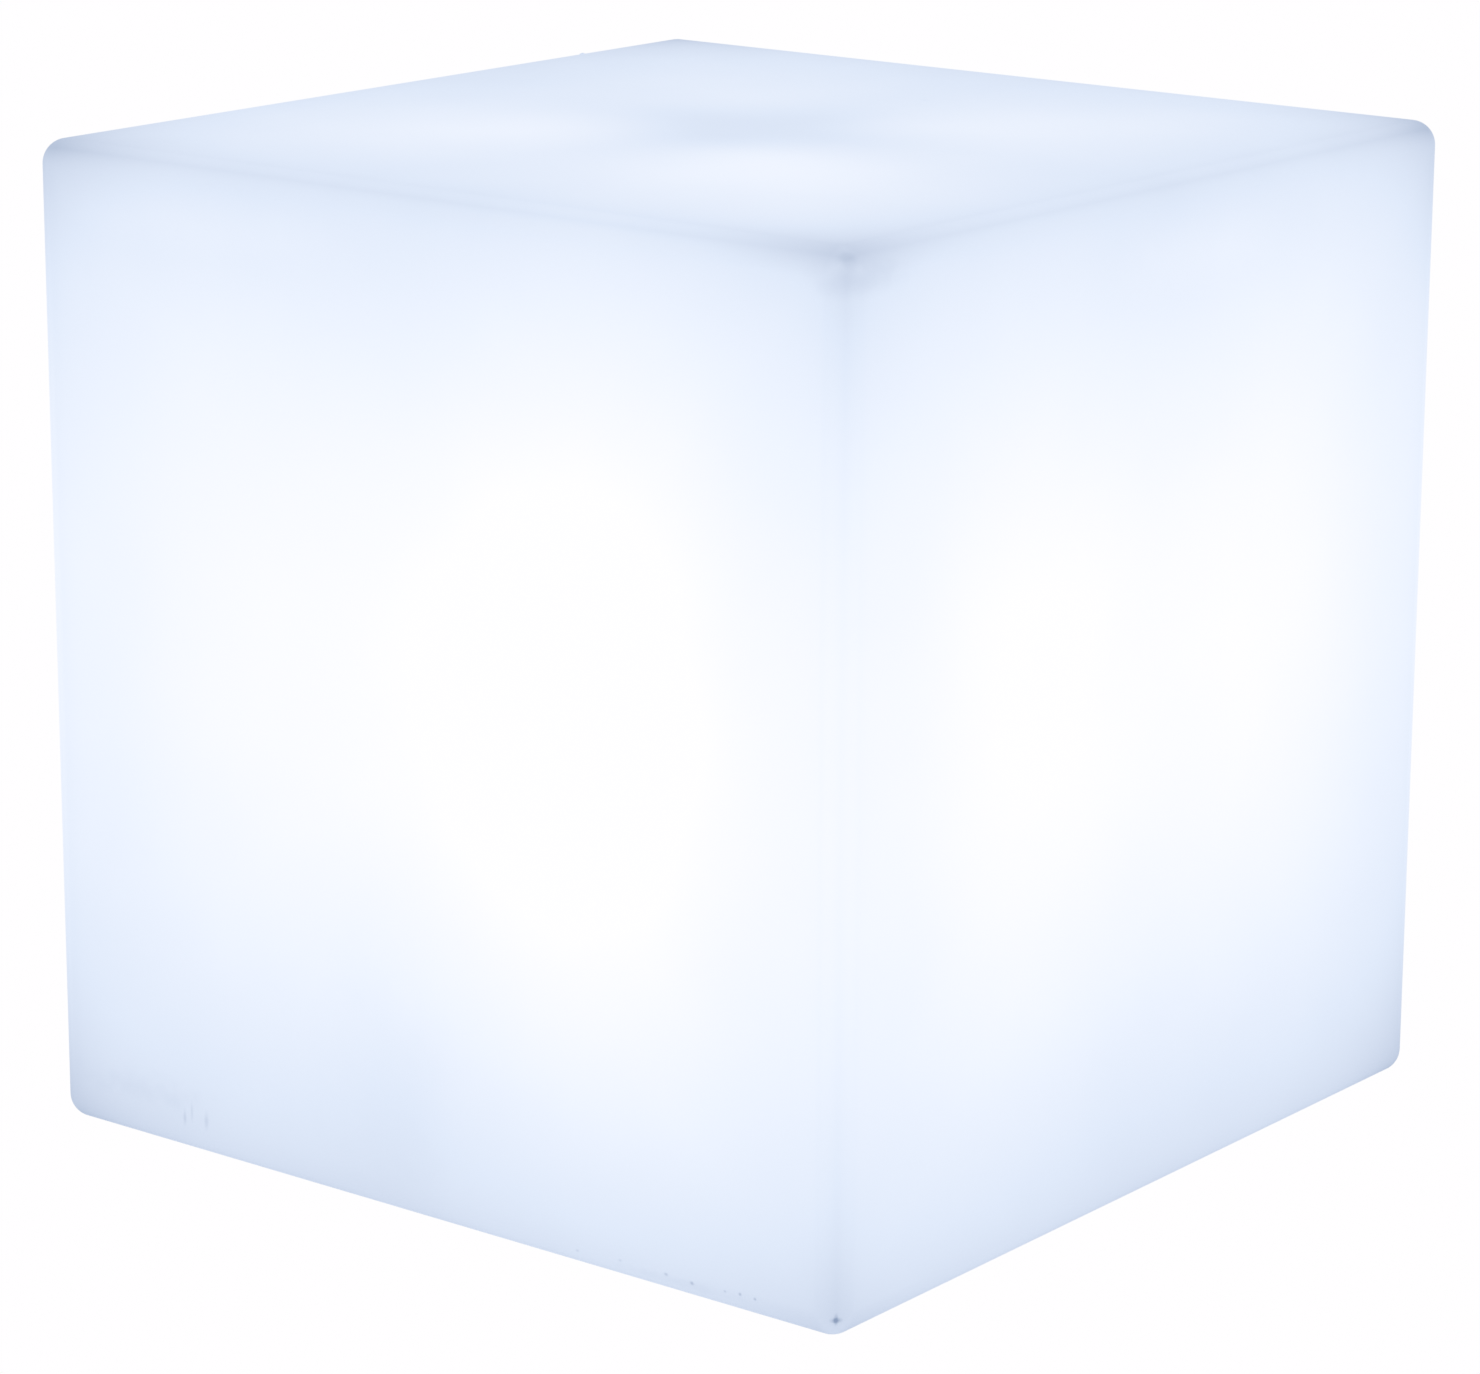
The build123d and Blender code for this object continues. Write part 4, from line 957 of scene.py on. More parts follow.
@dataclass
class CubeShell:
    """The hollow cube: rounded outside and inside, with a round mouth in its floor for the recess pan."""

    material: Material
    side: float = 400.0
    height: float = 404.0
    edge_radius: float = 10.0
    wall: float = 4.0
    inner_radius: float = 6.0
    low: float = 1.5
    mouth_radius: float = 119.05
    foot_place: float = 162.0
    foot_radius: float = 14.05
    foot_depth: float = 2.5
    foot_boss: float = 13.5
    stem_radius: float = 3.55
    stem_depth: float = 9.55
    arc_steps: int = 6
    flat_steps: int = 12
    turn_steps: int = 144
    foot_steps: int = 48
    boss_bevel: float = 1.0
    clear: float = 1.0

    def cube_tree(self) -> Tree:
        """Make the geometry tree of a cube with rounded edges.

        Each side's grid is stretched so that its outer rows fall in the rounding, at even angles. A point
        then moves to its nearest place on the flat core plus the edge radius.

        Returns:
            The tree, with the side, height, edge radius, base height and counts of steps as its inputs.
        """
        sizes = ["Side", "Height", "Edge Radius", "Base"]
        sockets = {name: "Float" for name in sizes} | {"Arc Steps": "Int", "Flat Steps": "Int"}
        tree, given = geometry_tree("rounded cube", sockets)
        side, height, radius, base, arcs, flats = given.outputs[:6]
        spans = add_node(tree, "ShaderNodeCombineXYZ", [side, side, height])
        halves = add_node(tree, VECTOR_MATHS, {"Vector": spans, "Scale": 0.5}, operation="SCALE")
        radii = add_node(tree, "ShaderNodeCombineXYZ", [radius, radius, radius])
        cores = add_node(tree, VECTOR_MATHS, [halves, radii], operation="SUBTRACT")
        steps = add_node(tree, MATHS, [arcs, 2.0, flats], operation="MULTIPLY_ADD")
        points = add_node(tree, MATHS, [steps, 1.0], operation="ADD")
        flat_share = add_node(tree, MATHS, [flats, steps], operation="DIVIDE")
        arc_share = add_node(tree, MATHS, [1.0, flat_share], operation="SUBTRACT")
        grid = add_node(tree, "GeometryNodeMeshCube", [spans, points, points, points])
        here = add_node(tree, "GeometryNodeInputPosition")
        sign = add_node(tree, VECTOR_MATHS, [here], operation="SIGN")
        out = add_node(tree, VECTOR_MATHS, [here], operation="ABSOLUTE")
        share = add_node(tree, VECTOR_MATHS, [out, halves], operation="DIVIDE")
        flat_shares = add_node(tree, "ShaderNodeCombineXYZ", [flat_share, flat_share, flat_share])
        stretch = add_node(tree, VECTOR_MATHS, [cores, flat_shares], operation="DIVIDE")
        flat = add_node(tree, VECTOR_MATHS, [share, stretch], operation="MULTIPLY")
        inner = add_node(tree, VECTOR_MATHS, [flat, cores], operation="MINIMUM")
        beyond = add_node(tree, VECTOR_MATHS, [share, flat_shares], operation="SUBTRACT")
        turned = add_node(tree, VECTOR_MATHS, [beyond, (0.0, 0.0, 0.0)], operation="MAXIMUM")
        rate = add_node(tree, MATHS, [math.pi / 4, arc_share], operation="DIVIDE")
        angle = add_node(tree, VECTOR_MATHS, {"Vector": turned, "Scale": rate}, operation="SCALE")
        tangent = add_node(tree, VECTOR_MATHS, [angle], operation="TANGENT")
        aim = add_node(tree, VECTOR_MATHS, [tangent], operation="NORMALIZE")
        arc = add_node(tree, VECTOR_MATHS, {"Vector": aim, "Scale": radius}, operation="SCALE")
        reach = add_node(tree, VECTOR_MATHS, [inner, arc], operation="ADD")
        signed = add_node(tree, VECTOR_MATHS, [sign, reach], operation="MULTIPLY")
        middle = add_node(tree, MATHS, [height, 0.5, base], operation="MULTIPLY_ADD")
        lift = add_node(tree, "ShaderNodeCombineXYZ", [0.0, 0.0, middle])
        moved = add_node(tree, VECTOR_MATHS, [signed, lift], operation="ADD")
        placed = add_node(tree, "GeometryNodeSetPosition", {"Geometry": grid, "Position": moved})
        add_node(tree, "NodeGroupOutput", [placed])
        return tree

    def shell_tree(self) -> Tree:
        """Make the geometry tree of the whole shell: one rounded cube less another, and less its cuts.

        Returns:
            The tree, with named inputs for the shell's sizes, its turned cuts and its material.
        """
        sizes = ["Side", "Height", "Edge Radius", "Inner Radius", "Wall", "Base", "Foot Place"]
        sockets = {name: "Float" for name in sizes}
        sockets |= {"Arc Steps": "Int", "Flat Steps": "Int"}
        sockets |= {"Boss": "Object", "Foot": "Object", "Mouth": "Object"}
        tree, given = geometry_tree("cube shell", sockets | {"Material": "Material"})
        value = given.outputs
        cube = self.cube_tree()
        steps = [value["Arc Steps"], value["Flat Steps"]]
        within = add_node(tree, MATHS, [value["Wall"], -2.0, value["Side"]], operation="MULTIPLY_ADD")
        room = add_node(tree, MATHS, [value["Wall"], -2.0, value["Height"]], operation="MULTIPLY_ADD")
        raised = add_node(tree, MATHS, [value["Base"], value["Wall"]], operation="ADD")
        outer_sizes = [value["Side"], value["Height"], value["Edge Radius"], value["Base"], *steps]
        inner_sizes = [within, room, value["Inner Radius"], raised, *steps]
        outer = add_node(tree, "GeometryNodeGroup", outer_sizes, node_tree=cube)
        inner = add_node(tree, "GeometryNodeGroup", inner_sizes, node_tree=cube)
        span = add_node(tree, MATHS, [value["Foot Place"], 2.0], operation="MULTIPLY")
        corners = add_node(tree, "GeometryNodeMeshGrid", [span, span, 2, 2])
        cuts = {}
        for name in ("Boss", "Foot"):
            solid = add_node(tree, "GeometryNodeObjectInfo", [value[name]]).outputs["Geometry"]
            copies = add_node(tree, "GeometryNodeInstanceOnPoints", {"Points": corners, "Instance": solid})
            cuts[name] = add_node(tree, "GeometryNodeRealizeInstances", [copies]).outputs[0]
        mouth = add_node(tree, "GeometryNodeObjectInfo", [value["Mouth"]]).outputs["Geometry"]
        solids = [inner, cuts["Boss"]]
        hollow = add_node(tree, "GeometryNodeMeshBoolean", solids, operation="DIFFERENCE", solver="EXACT")
        shell = add_node(tree, "GeometryNodeMeshBoolean", [outer], operation="DIFFERENCE", solver="EXACT")
        for tool in (hollow.outputs[0], mouth, cuts["Foot"]):
            tree.links.new(tool, shell.inputs[1])
        end_tree(tree, shell, value["Material"])
        return tree

    def cutters(self) -> dict[str, Piece]:
        """Turn the solids that shape the floor's mouth and its foot dimples.

        Returns:
            Each solid by the name of its input.
        """
        low, high = self.low - self.wall, self.low + 2 * self.wall
        mouth = [(0, low), (self.mouth_radius, low), (self.mouth_radius, high), (0, high)]
        floor, crown = self.low + self.wall / 2, self.low + self.foot_boss
        boss_radius = self.foot_radius + self.wall
        boss = [(0, floor), (boss_radius, floor), (boss_radius, crown - self.boss_bevel)]
        boss += [(boss_radius - self.boss_bevel, crown), (0, crown)]
        below, seat, end = self.low - self.clear, self.low + self.foot_depth, self.low + self.stem_depth
        foot = [(0, below), (self.foot_radius, below), (self.foot_radius, seat)]
        foot += [(self.stem_radius, seat), (self.stem_radius, end), (0, end)]
        return {
            "Mouth": lathe("mouth", mouth, self.turn_steps),
            "Boss": lathe("boss", boss, self.foot_steps),
            "Foot": lathe("foot", foot, self.foot_steps),
        }

    def build(self) -> None:
        """Make the shell and dress it."""
        shell = new_piece("cube_skin")
        tools = self.cutters()
        sizes = {
            "Side": self.side,
            "Height": self.height,
            "Edge Radius": self.edge_radius,
            "Inner Radius": self.inner_radius,
            "Wall": self.wall,
            "Base": self.low,
            "Foot Place": self.foot_place,
        }
        values = {name: size * MILLIMETRE for name, size in sizes.items()}
        values |= {"Arc Steps": self.arc_steps, "Flat Steps": self.flat_steps, "Material": self.material}
        run_tree(shell, self.shell_tree(), values | tools)
        discard(*tools.values())
        smooth(shell)
        dress(shell, "root", "moulded_polyethylene", "cube_shell")


@dataclass
class RecessPan:
    """The pan welded into the cube's floor: it carries the mounting collar round the hole in its roof."""

    material: Material
    radius: float = 119.0
    inner_radius: float = 115.0
    low: float = 1.5
    roof: float = 46.5
    top: float = 50.5
    edge: float = 3.0
    opening_radius: float = 75.0
    screw_circle: float = 100.0
    screw_radius: float = 2.05
    screw_count: int = 8
    turn_steps: int = 144
    edge_steps: int = 8
    crown_steps: int = 10
    drill_steps: int = 24
    clear: float = 1.0

    def profile(self) -> Outline:
        """Trace the pan's section, from its mouth up the outside and back down the inside."""
        outer = self.edge + self.radius - self.inner_radius
        lip_centre = (self.inner_radius + self.edge, self.low + self.edge)
        lip = arc_points(lip_centre, self.edge, 180, 270, self.edge_steps)
        crown = arc_points((self.radius - outer, self.top - outer), outer, 0, 90, self.crown_steps)
        opening = [(self.opening_radius, self.top), (self.opening_radius, self.roof)]
        root_centre = (self.inner_radius - self.edge, self.roof - self.edge)
        root = arc_points(root_centre, self.edge, 90, 0, self.edge_steps)
        return [*lip, (self.radius, self.low), *crown, *opening, *root]

    def drill_tree(self) -> Tree:
        """Make the geometry tree that drills a ring of holes.

        Returns:
            The tree, with the blank, the drill, the circle, the count and the material as its inputs.
        """
        sockets = {
            "Blank": "Geometry",
            "Drill": "Object",
            "Circle": "Float",
            "Count": "Int",
            "Material": "Material",
        }
        tree, given = geometry_tree("drilled ring", sockets)
        value = given.outputs
        circle = add_node(
            tree, "GeometryNodeMeshCircle", {"Vertices": value["Count"], "Radius": value["Circle"]}
        )
        drill = add_node(tree, "GeometryNodeObjectInfo", [value["Drill"]]).outputs["Geometry"]
        drills = add_node(tree, "GeometryNodeInstanceOnPoints", {"Points": circle, "Instance": drill})
        real = add_node(tree, "GeometryNodeRealizeInstances", [drills])
        solids = [value["Blank"], real]
        drilled = add_node(tree, "GeometryNodeMeshBoolean", solids, operation="DIFFERENCE", solver="EXACT")
        end_tree(tree, drilled, value["Material"])
        return tree

    def build(self) -> None:
        """Make the pan and dress it."""
        pan = lathe("recess_pan", self.profile(), self.turn_steps, ring=True)
        low, high = self.roof - self.clear, self.top + self.clear
        bit = [(0, low), (self.screw_radius, low), (self.screw_radius, high), (0, high)]
        drill = lathe("drill", bit, self.drill_steps)
        values = {"Drill": drill, "Circle": self.screw_circle * MILLIMETRE}
        values |= {"Count": self.screw_count, "Material": self.material}
        run_tree(pan, self.drill_tree(), values)
        discard(drill)
        smooth(pan)
        dress(pan, "root", "moulded_polyethylene", "base_pan")


@dataclass
class VentNib:
    """The nib of plastic that a mould vent left on the cube's back left edge."""

    material: Material
    place: Place = (-193.9, 128.5, 404.6)
    size: Place = (0.9, 1.8, 0.8)
    segments: int = 24
    rings: int = 12

    def build(self) -> None:
        """Make the nib as a small egg that is half sunk in the edge, and dress it."""
        shape = bmesh.new()
        moved = Matrix.Translation(Vector(self.place) * MILLIMETRE) @ Matrix.Diagonal((*self.size, 1.0))
        bmesh.ops.create_uvsphere(
            shape, u_segments=self.segments, v_segments=self.rings, radius=MILLIMETRE, matrix=moved
        )
        nib = piece_from("vent_nib", shape)
        nib.data.materials.append(self.material)
        smooth(nib, crease=60)
        dress(nib, "root", "moulded_polyethylene")


def spread_tree() -> Tree:
    """Make the geometry tree that sets a copy of an object on each point, facing the way the point aims.

    Returns:
        The tree, with the points, the object, the most that a copy turns, the seed of its turn and the
        material as its inputs.
    """
    sockets = {
        "Points": "Geometry", "Copy": "Object", "Turn": "Float", "Seed": "Int", "Material": "Material"
    }
    tree, given = geometry_tree("copies on points", sockets)
    value = given.outputs
    aim = add_node(tree, "GeometryNodeInputNamedAttribute", {"Name": "aim"}, data_type="FLOAT_VECTOR")
    facing = add_node(tree, "FunctionNodeAlignRotationToVector", {"Vector": aim}, axis="Z")
    solid = add_node(tree, "GeometryNodeObjectInfo", [value["Copy"]]).outputs["Geometry"]
    links = {"Points": value["Points"], "Instance": solid, "Rotation": facing}
    copies = add_node(tree, "GeometryNodeInstanceOnPoints", links)
    chance = add_node(tree, "FunctionNodeRandomValue", {"Seed": value["Seed"]}, data_type="FLOAT")
    angle = add_node(tree, MATHS, [chance.outputs["Value"], value["Turn"]], operation="MULTIPLY")
    turn = add_node(tree, "ShaderNodeCombineXYZ", [0.0, 0.0, angle])
    turned = add_node(tree, "GeometryNodeRotateInstances", {"Instances": copies, "Rotation": turn})
    end_tree(tree, turned, value["Material"])
    return tree


def points_piece(name: str, places: list[Place], aims: list[Place]) -> Piece:
    """Make an object of loose points that each aim somewhere.

    Args:
        name: The object's name.
        places: Where each point is.
        aims: The way each point aims.

    Returns:
        The object.
    """
    mesh = bpy.data.meshes.new(name)
    mesh.from_pydata([tuple(c * MILLIMETRE for c in place) for place in places], [], [])
    attribute = mesh.attributes.new("aim", "FLOAT_VECTOR", "POINT")
    attribute.data.foreach_set("vector", [c for aim in aims for c in aim])
    return new_piece(name, mesh)


class Aim(Enum):
    """The way that the top of a copy points."""

    UP = (0.0, 0.0, 1.0)
    DOWN = (0.0, 0.0, -1.0)


def on_circle(radius: float, count: int, height: float, start: float = 0.0) -> list[Place]:
    """Places round a circle.

    Args:
        radius: The circle's radius.
        count: How many places.
        height: Their height.
        start: The first one's angle in degrees.

    Returns:
        The places.
    """
    angles = [math.radians(start) + math.tau * step / count for step in range(count)]
    return [(radius * math.cos(angle), radius * math.sin(angle), height) for angle in angles]


def on_rectangle(x: float, y: float, height: float) -> list[Place]:
    """The four corners of a rectangle round the axis, or two places where x is 0."""
    return [(side * x, end * y, height) for side in ((-1, 1) if x else (0,)) for end in (-1, 1)]


class ScrewSize(Enum):
    """A screw's shank radius, head radius and head height."""

    M4 = (2.0, 4.0, 2.6)
    M3 = (1.5, 2.9, 2.0)
    M2_5 = (1.25, 2.4, 1.6)
    M2_5_LOW = (1.25, 2.2, 1.2)


@dataclass
class ScrewSet:
    """Pan-head screws with a cross recess, all of one size, that stand for one CAD node.

    The rim's share is of the head's height, the tip's is of the shank's radius, and the cross's reach and
    width are shares of the head's radius, and its floor is one of the rim.
    """

    name: str
    node: str
    body: str
    places: list[Place]
    aims: list[Place]
    size: ScrewSize
    length: float
    seed: int
    rim_share: float = 0.45
    crown_angles: tuple[float, ...] = (0.0, 0.35, 0.7, 1.05, 1.35)
    tip_share: float = 0.7
    tip_length: float = 0.5
    cross_reach: float = 0.62
    cross_width: float = 0.13
    cross_floor: float = 0.7
    turn_steps: int = 32
    clear: float = 1.0

    def one(self) -> Piece:
        """Make one screw at the origin, with its seat at height 0 and its head above.

        Returns:
            The screw.
        """
        shank, head, height = self.size.value
        rim = height * self.rim_share
        crown = [(head * math.cos(a), rim + (height - rim) * math.sin(a)) for a in self.crown_angles]
        tip = [
            (0, -self.length),
            (shank * self.tip_share, -self.length),
            (shank, -self.length + self.tip_length),
        ]
        profile = [*tip, (shank, 0), (head, 0), *crown, (0, height)]
        screw = lathe(self.name + "_one", profile, self.turn_steps)
        reach, width = head * self.cross_reach, head * self.cross_width
        for x, y in ((reach, width), (width, reach)):
            outline = [(-x, -y), (x, -y), (x, y), (-x, y)]
            tool = slab("cross", outline, rim * self.cross_floor, height + self.clear)
            cut = screw.modifiers.new("cross recess", "BOOLEAN")
            cut.object = tool
            cut.solver = "EXACT"
            settle(screw)
            discard(tool)
        return screw

    def build(self, tree: Tree, material: Material) -> None:
        """Set the screws in place.

        Args:
            tree: The tree that sets copies on points.
            material: The screws' finish.
        """
        screw = self.one()
        piece = points_piece(self.name, self.places, self.aims)
        values = {"Copy": screw, "Turn": math.tau, "Seed": self.seed, "Material": material}
        run_tree(piece, tree, values)
        discard(screw)
        smooth(piece, crease=30)
        dress(piece, self.body, "screw_steel", self.node)


@dataclass
class BaseFeet:
    """Four rubber feet with rounded rims and grip rings, pressed into the underside."""

    place: float = 162.0
    radius: float = 14.0
    height: float = 4.0
    stem_radius: float = 3.5
    stem_top: float = 11.0
    rim: float = 1.0
    ring_radii: tuple[float, ...] = (4.0, 7.0, 10.0)
    ring_width: float = 1.0
    ring_depth: float = 0.6
    stem_bevel: float = 0.8
    rim_steps: int = 6
    turn_steps: int = 64

    def build(self, tree: Tree, material: Material) -> None:
        """Make the feet.

        Args:
            tree: The tree that sets copies on points.
            material: The feet's rubber.
        """
        profile = [(0.0, 0.0)]
        half = self.ring_width / 2
        groove = [(-half, 0.0), (-half / 2, self.ring_depth), (half / 2, self.ring_depth), (half, 0.0)]
        for radius in self.ring_radii:
            profile += [(radius + out, depth) for out, depth in groove]
        profile += arc_points((self.radius - self.rim, self.rim), self.rim, 270, 360, self.rim_steps)
        profile += [(self.radius, self.height), (self.stem_radius, self.height)]
        profile += [(self.stem_radius, self.stem_top - self.stem_bevel)]
        profile += [(self.stem_radius - self.stem_bevel, self.stem_top), (0.0, self.stem_top)]
        foot = lathe("foot_one", profile, self.turn_steps)
        places = on_rectangle(self.place, self.place, 0.0)
        piece = points_piece("grip_feet", places, [Aim.UP.value] * len(places))
        run_tree(piece, tree, {"Copy": foot, "Turn": 0.0, "Seed": 1, "Material": material})
        discard(foot)
        smooth(piece, crease=40)
        dress(piece, "root", "foot_rubber", "rubber_feet")


@dataclass
class CoverTrim:
    """Moulded detail on the base cover: grip ribs on the bar between its finger wells, and a turn arrow."""

    face: float = 26.7
    rib_count: int = 9
    rib_pitch: float = 5.0
    rib_length: float = 12.0
    rib_width: float = 1.6
    proud: float = 0.6
    arrow_radius: float = 84.0
    arrow_width: float = 2.4
    arrow_head: float = 7.0
    arrow_start: float = 255.0
    arrow_end: float = 285.0
    sunk: float = 0.1
    rib_steps: int = 8
    arrow_steps: int = 16

    def rib(self) -> Piece:
        """Make one rib at the origin: a long low loaf, its crown below."""
        profile = arc_points((0.0, 0.0), self.rib_width / 2, 180, 360, self.rib_steps)
        flattened = [(x, y * self.proud / (self.rib_width / 2)) for x, y in profile]
        shape = bmesh.new()
        ends = []
        for end in (-1, 1):
            y = end * self.rib_length / 2
            ends.append([shape.verts.new(Vector((x, y, z)) * MILLIMETRE) for x, z in flattened])
        shape.faces.new(ends[0])
        shape.faces.new(ends[1])
        for here in range(len(flattened)):
            after = (here + 1) % len(flattened)
            shape.faces.new((ends[0][here], ends[0][after], ends[1][after], ends[1][here]))
        return piece_from("rib_one", shape)

    def arrow_outline(self) -> Outline:
        """Outline of the curved arrow that shows which way the module turns out."""
        half = self.arrow_width / 2
        middle, start, end, steps = (0.0, 0.0), self.arrow_start, self.arrow_end, self.arrow_steps
        outer = arc_points(middle, self.arrow_radius + half, start, end, steps)
        inner = arc_points(middle, self.arrow_radius - half, end, start, steps)
        reach = math.degrees(self.arrow_head / self.arrow_radius)
        head = []
        for offset, turn in ((self.arrow_head / 2, 0.0), (0.0, reach), (-self.arrow_head / 2, 0.0)):
            angle = math.radians(end + turn)
            radius = self.arrow_radius + offset
            head.append((radius * math.cos(angle), radius * math.sin(angle)))
        return [*outer, *head, *inner]

    def build(self, tree: Tree, material: Material) -> None:
        """Make the arrow and the ribs.

        Args:
            tree: The tree that sets copies on points.
            material: The cover's plastic.
        """
        low, high = self.face - self.proud / 2, self.face + self.sunk
        arrow = slab("turn_arrow", self.arrow_outline(), low, high)
        arrow.data.materials.append(material)
        dress(arrow, "light_module", "cover_abs")
        rib = self.rib()
        first = -(self.rib_count - 1) / 2
        places = [((first + step) * self.rib_pitch, 0.0, self.face) for step in range(self.rib_count)]
        piece = points_piece("grip_ribs", places, [Aim.UP.value] * len(places))
        run_tree(piece, tree, {"Copy": rib, "Turn": 0.0, "Seed": 1, "Material": material})
        discard(rib)
        smooth(piece)
        dress(piece, "light_module", "cover_abs")


@dataclass
class ButtonMark:
    """The raised on and off sign on the push button: an open ring and a bar."""

    place: Flat = (0.0, -46.0)
    face: float = 26.2
    proud: float = 0.25
    sunk: float = 0.1
    radius: float = 3.0
    width: float = 0.8
    gap: float = 70.0
    bar_start: float = 0.6
    bar_beyond: float = 1.0
    ring_steps: int = 32

    def build(self, material: Material) -> None:
        """Make the sign.

        Args:
            material: The sign's rubber.
        """
        half = self.width / 2
        start = 90 + self.gap / 2
        end = start + 360 - self.gap
        ring = arc_points(self.place, self.radius + half, start, end, self.ring_steps)
        ring += arc_points(self.place, self.radius - half, end, start, self.ring_steps)
        x, y = self.place
        near, far = y + self.bar_start, y + self.radius + self.bar_beyond
        bar = [(x - half, near), (x + half, near), (x + half, far), (x - half, far)]
        low, high = self.face - self.proud, self.face + self.sunk
        piece = slab("button_sign", ring, low, high)
        other = slab("button_bar", bar, low, high)
        shape = bmesh.new()
        shape.from_mesh(piece.data)
        shape.from_mesh(other.data)
        shape.to_mesh(piece.data)
        shape.free()
        discard(other)
        piece.data.materials.append(material)
        dress(piece, "button", "flap_rubber")


@dataclass
class LampChips:
    """Rows of light-emitting chips, one row to each side of the mast."""

    seat: float = 18.1
    middle: float = 214.7
    pitch: float = 11.529
    count: int = 18
    width: float = 5.0
    height: float = 1.6
    rows: int = 4
    first_row: float = 45.0
    body_share: float = 0.7
    dome: tuple[Flat, ...] = ((0.8, 0.0), (0.8, 0.7), (0.5, 0.92))
    dome_steps: int = 16

    def one(self) -> Piece:
        """Make one chip at the origin: a square body with a shallow dome."""
        half = self.width / 2
        square = [(-half, -half), (half, -half), (half, half), (-half, half)]
        chip = slab("chip_one", square, 0.0, self.height * self.body_share)
        crown = [(half * out, self.height * up) for out, up in self.dome]
        dome = lathe("dome", [(0, 0), *crown, (0, self.height)], self.dome_steps)
        join = chip.modifiers.new("dome", "BOOLEAN")
        join.operation = "UNION"
        join.object = dome
        settle(chip)
        discard(dome)
        return chip

    def build(self, tree: Tree, material: Material) -> None:
        """Make the rows.

        Args:
            tree: The tree that sets copies on points.
            material: The chips' phosphor.
        """
        chip = self.one()
        for row in range(self.rows):
            angle = math.radians(self.first_row + row * 360 / self.rows)
            aim = (math.cos(angle), math.sin(angle), 0.0)
            steps = [step - (self.count - 1) / 2 for step in range(self.count)]
            x, y = self.seat * aim[0], self.seat * aim[1]
            places = [(x, y, self.middle + step * self.pitch) for step in steps]
            piece = points_piece(f"chip_row_{row + 1}", places, [aim] * self.count)
            run_tree(piece, tree, {"Copy": chip, "Turn": 0.0, "Seed": 1, "Material": material})
            smooth(piece, crease=30)
            dress(piece, "light_module", "lamp_chip", f"lamp_chips_{row + 1}")
        discard(chip)


@dataclass
class BatteryCells:
    """Round cells in shrink wrap, with a raised contact at one end."""

    height: float = 69.7
    radius: float = 9.2
    length: float = 65.2
    pitch: float = 20.0
    count: int = 3
    end_share: float = 0.8
    edge: float = 1.0
    edge_steps: int = 4
    groove: tuple[Flat, ...] = ((0.0, 3.0), (0.6, 2.4), (0.0, 1.8))
    shoulder: Flat = (0.8, 1.0)
    contact_shares: Flat = (0.36, 0.34)
    turn_steps: int = 64

    def build(self, tree: Tree, material: Material) -> None:
        """Make the cells.

        Args:
            tree: The tree that sets copies on points.
            material: The cells' wrap.
        """
        half = self.length / 2
        profile = [(0, -half), (self.radius * self.end_share, -half)]
        rim = (self.radius - self.edge, -half + self.edge)
        profile += arc_points(rim, self.edge, 270, 360, self.edge_steps)
        # Wrap is pinched into a groove below the contact, and folds in over the cell's shoulder
        profile += [(self.radius - inwards, half - down) for inwards, down in (*self.groove, self.shoulder)]
        foot, tip = self.contact_shares
        profile += [(self.radius * foot, half - self.shoulder[1]), (self.radius * tip, half), (0, half)]
        cell = lathe("cell_one", profile, self.turn_steps)
        first = -(self.count - 1) / 2
        places = [(0.0, (step + first) * self.pitch, self.height) for step in range(self.count)]
        aims = [(1.0 if step % 2 else -1.0, 0.0, 0.0) for step in range(self.count)]
        piece = points_piece("wrapped_cells", places, aims)
        run_tree(piece, tree, {"Copy": cell, "Turn": 0.0, "Seed": 1, "Material": material})
        discard(cell)
        smooth(piece, crease=40)
        dress(piece, "light_module", "cell_wrap", "battery_cells")


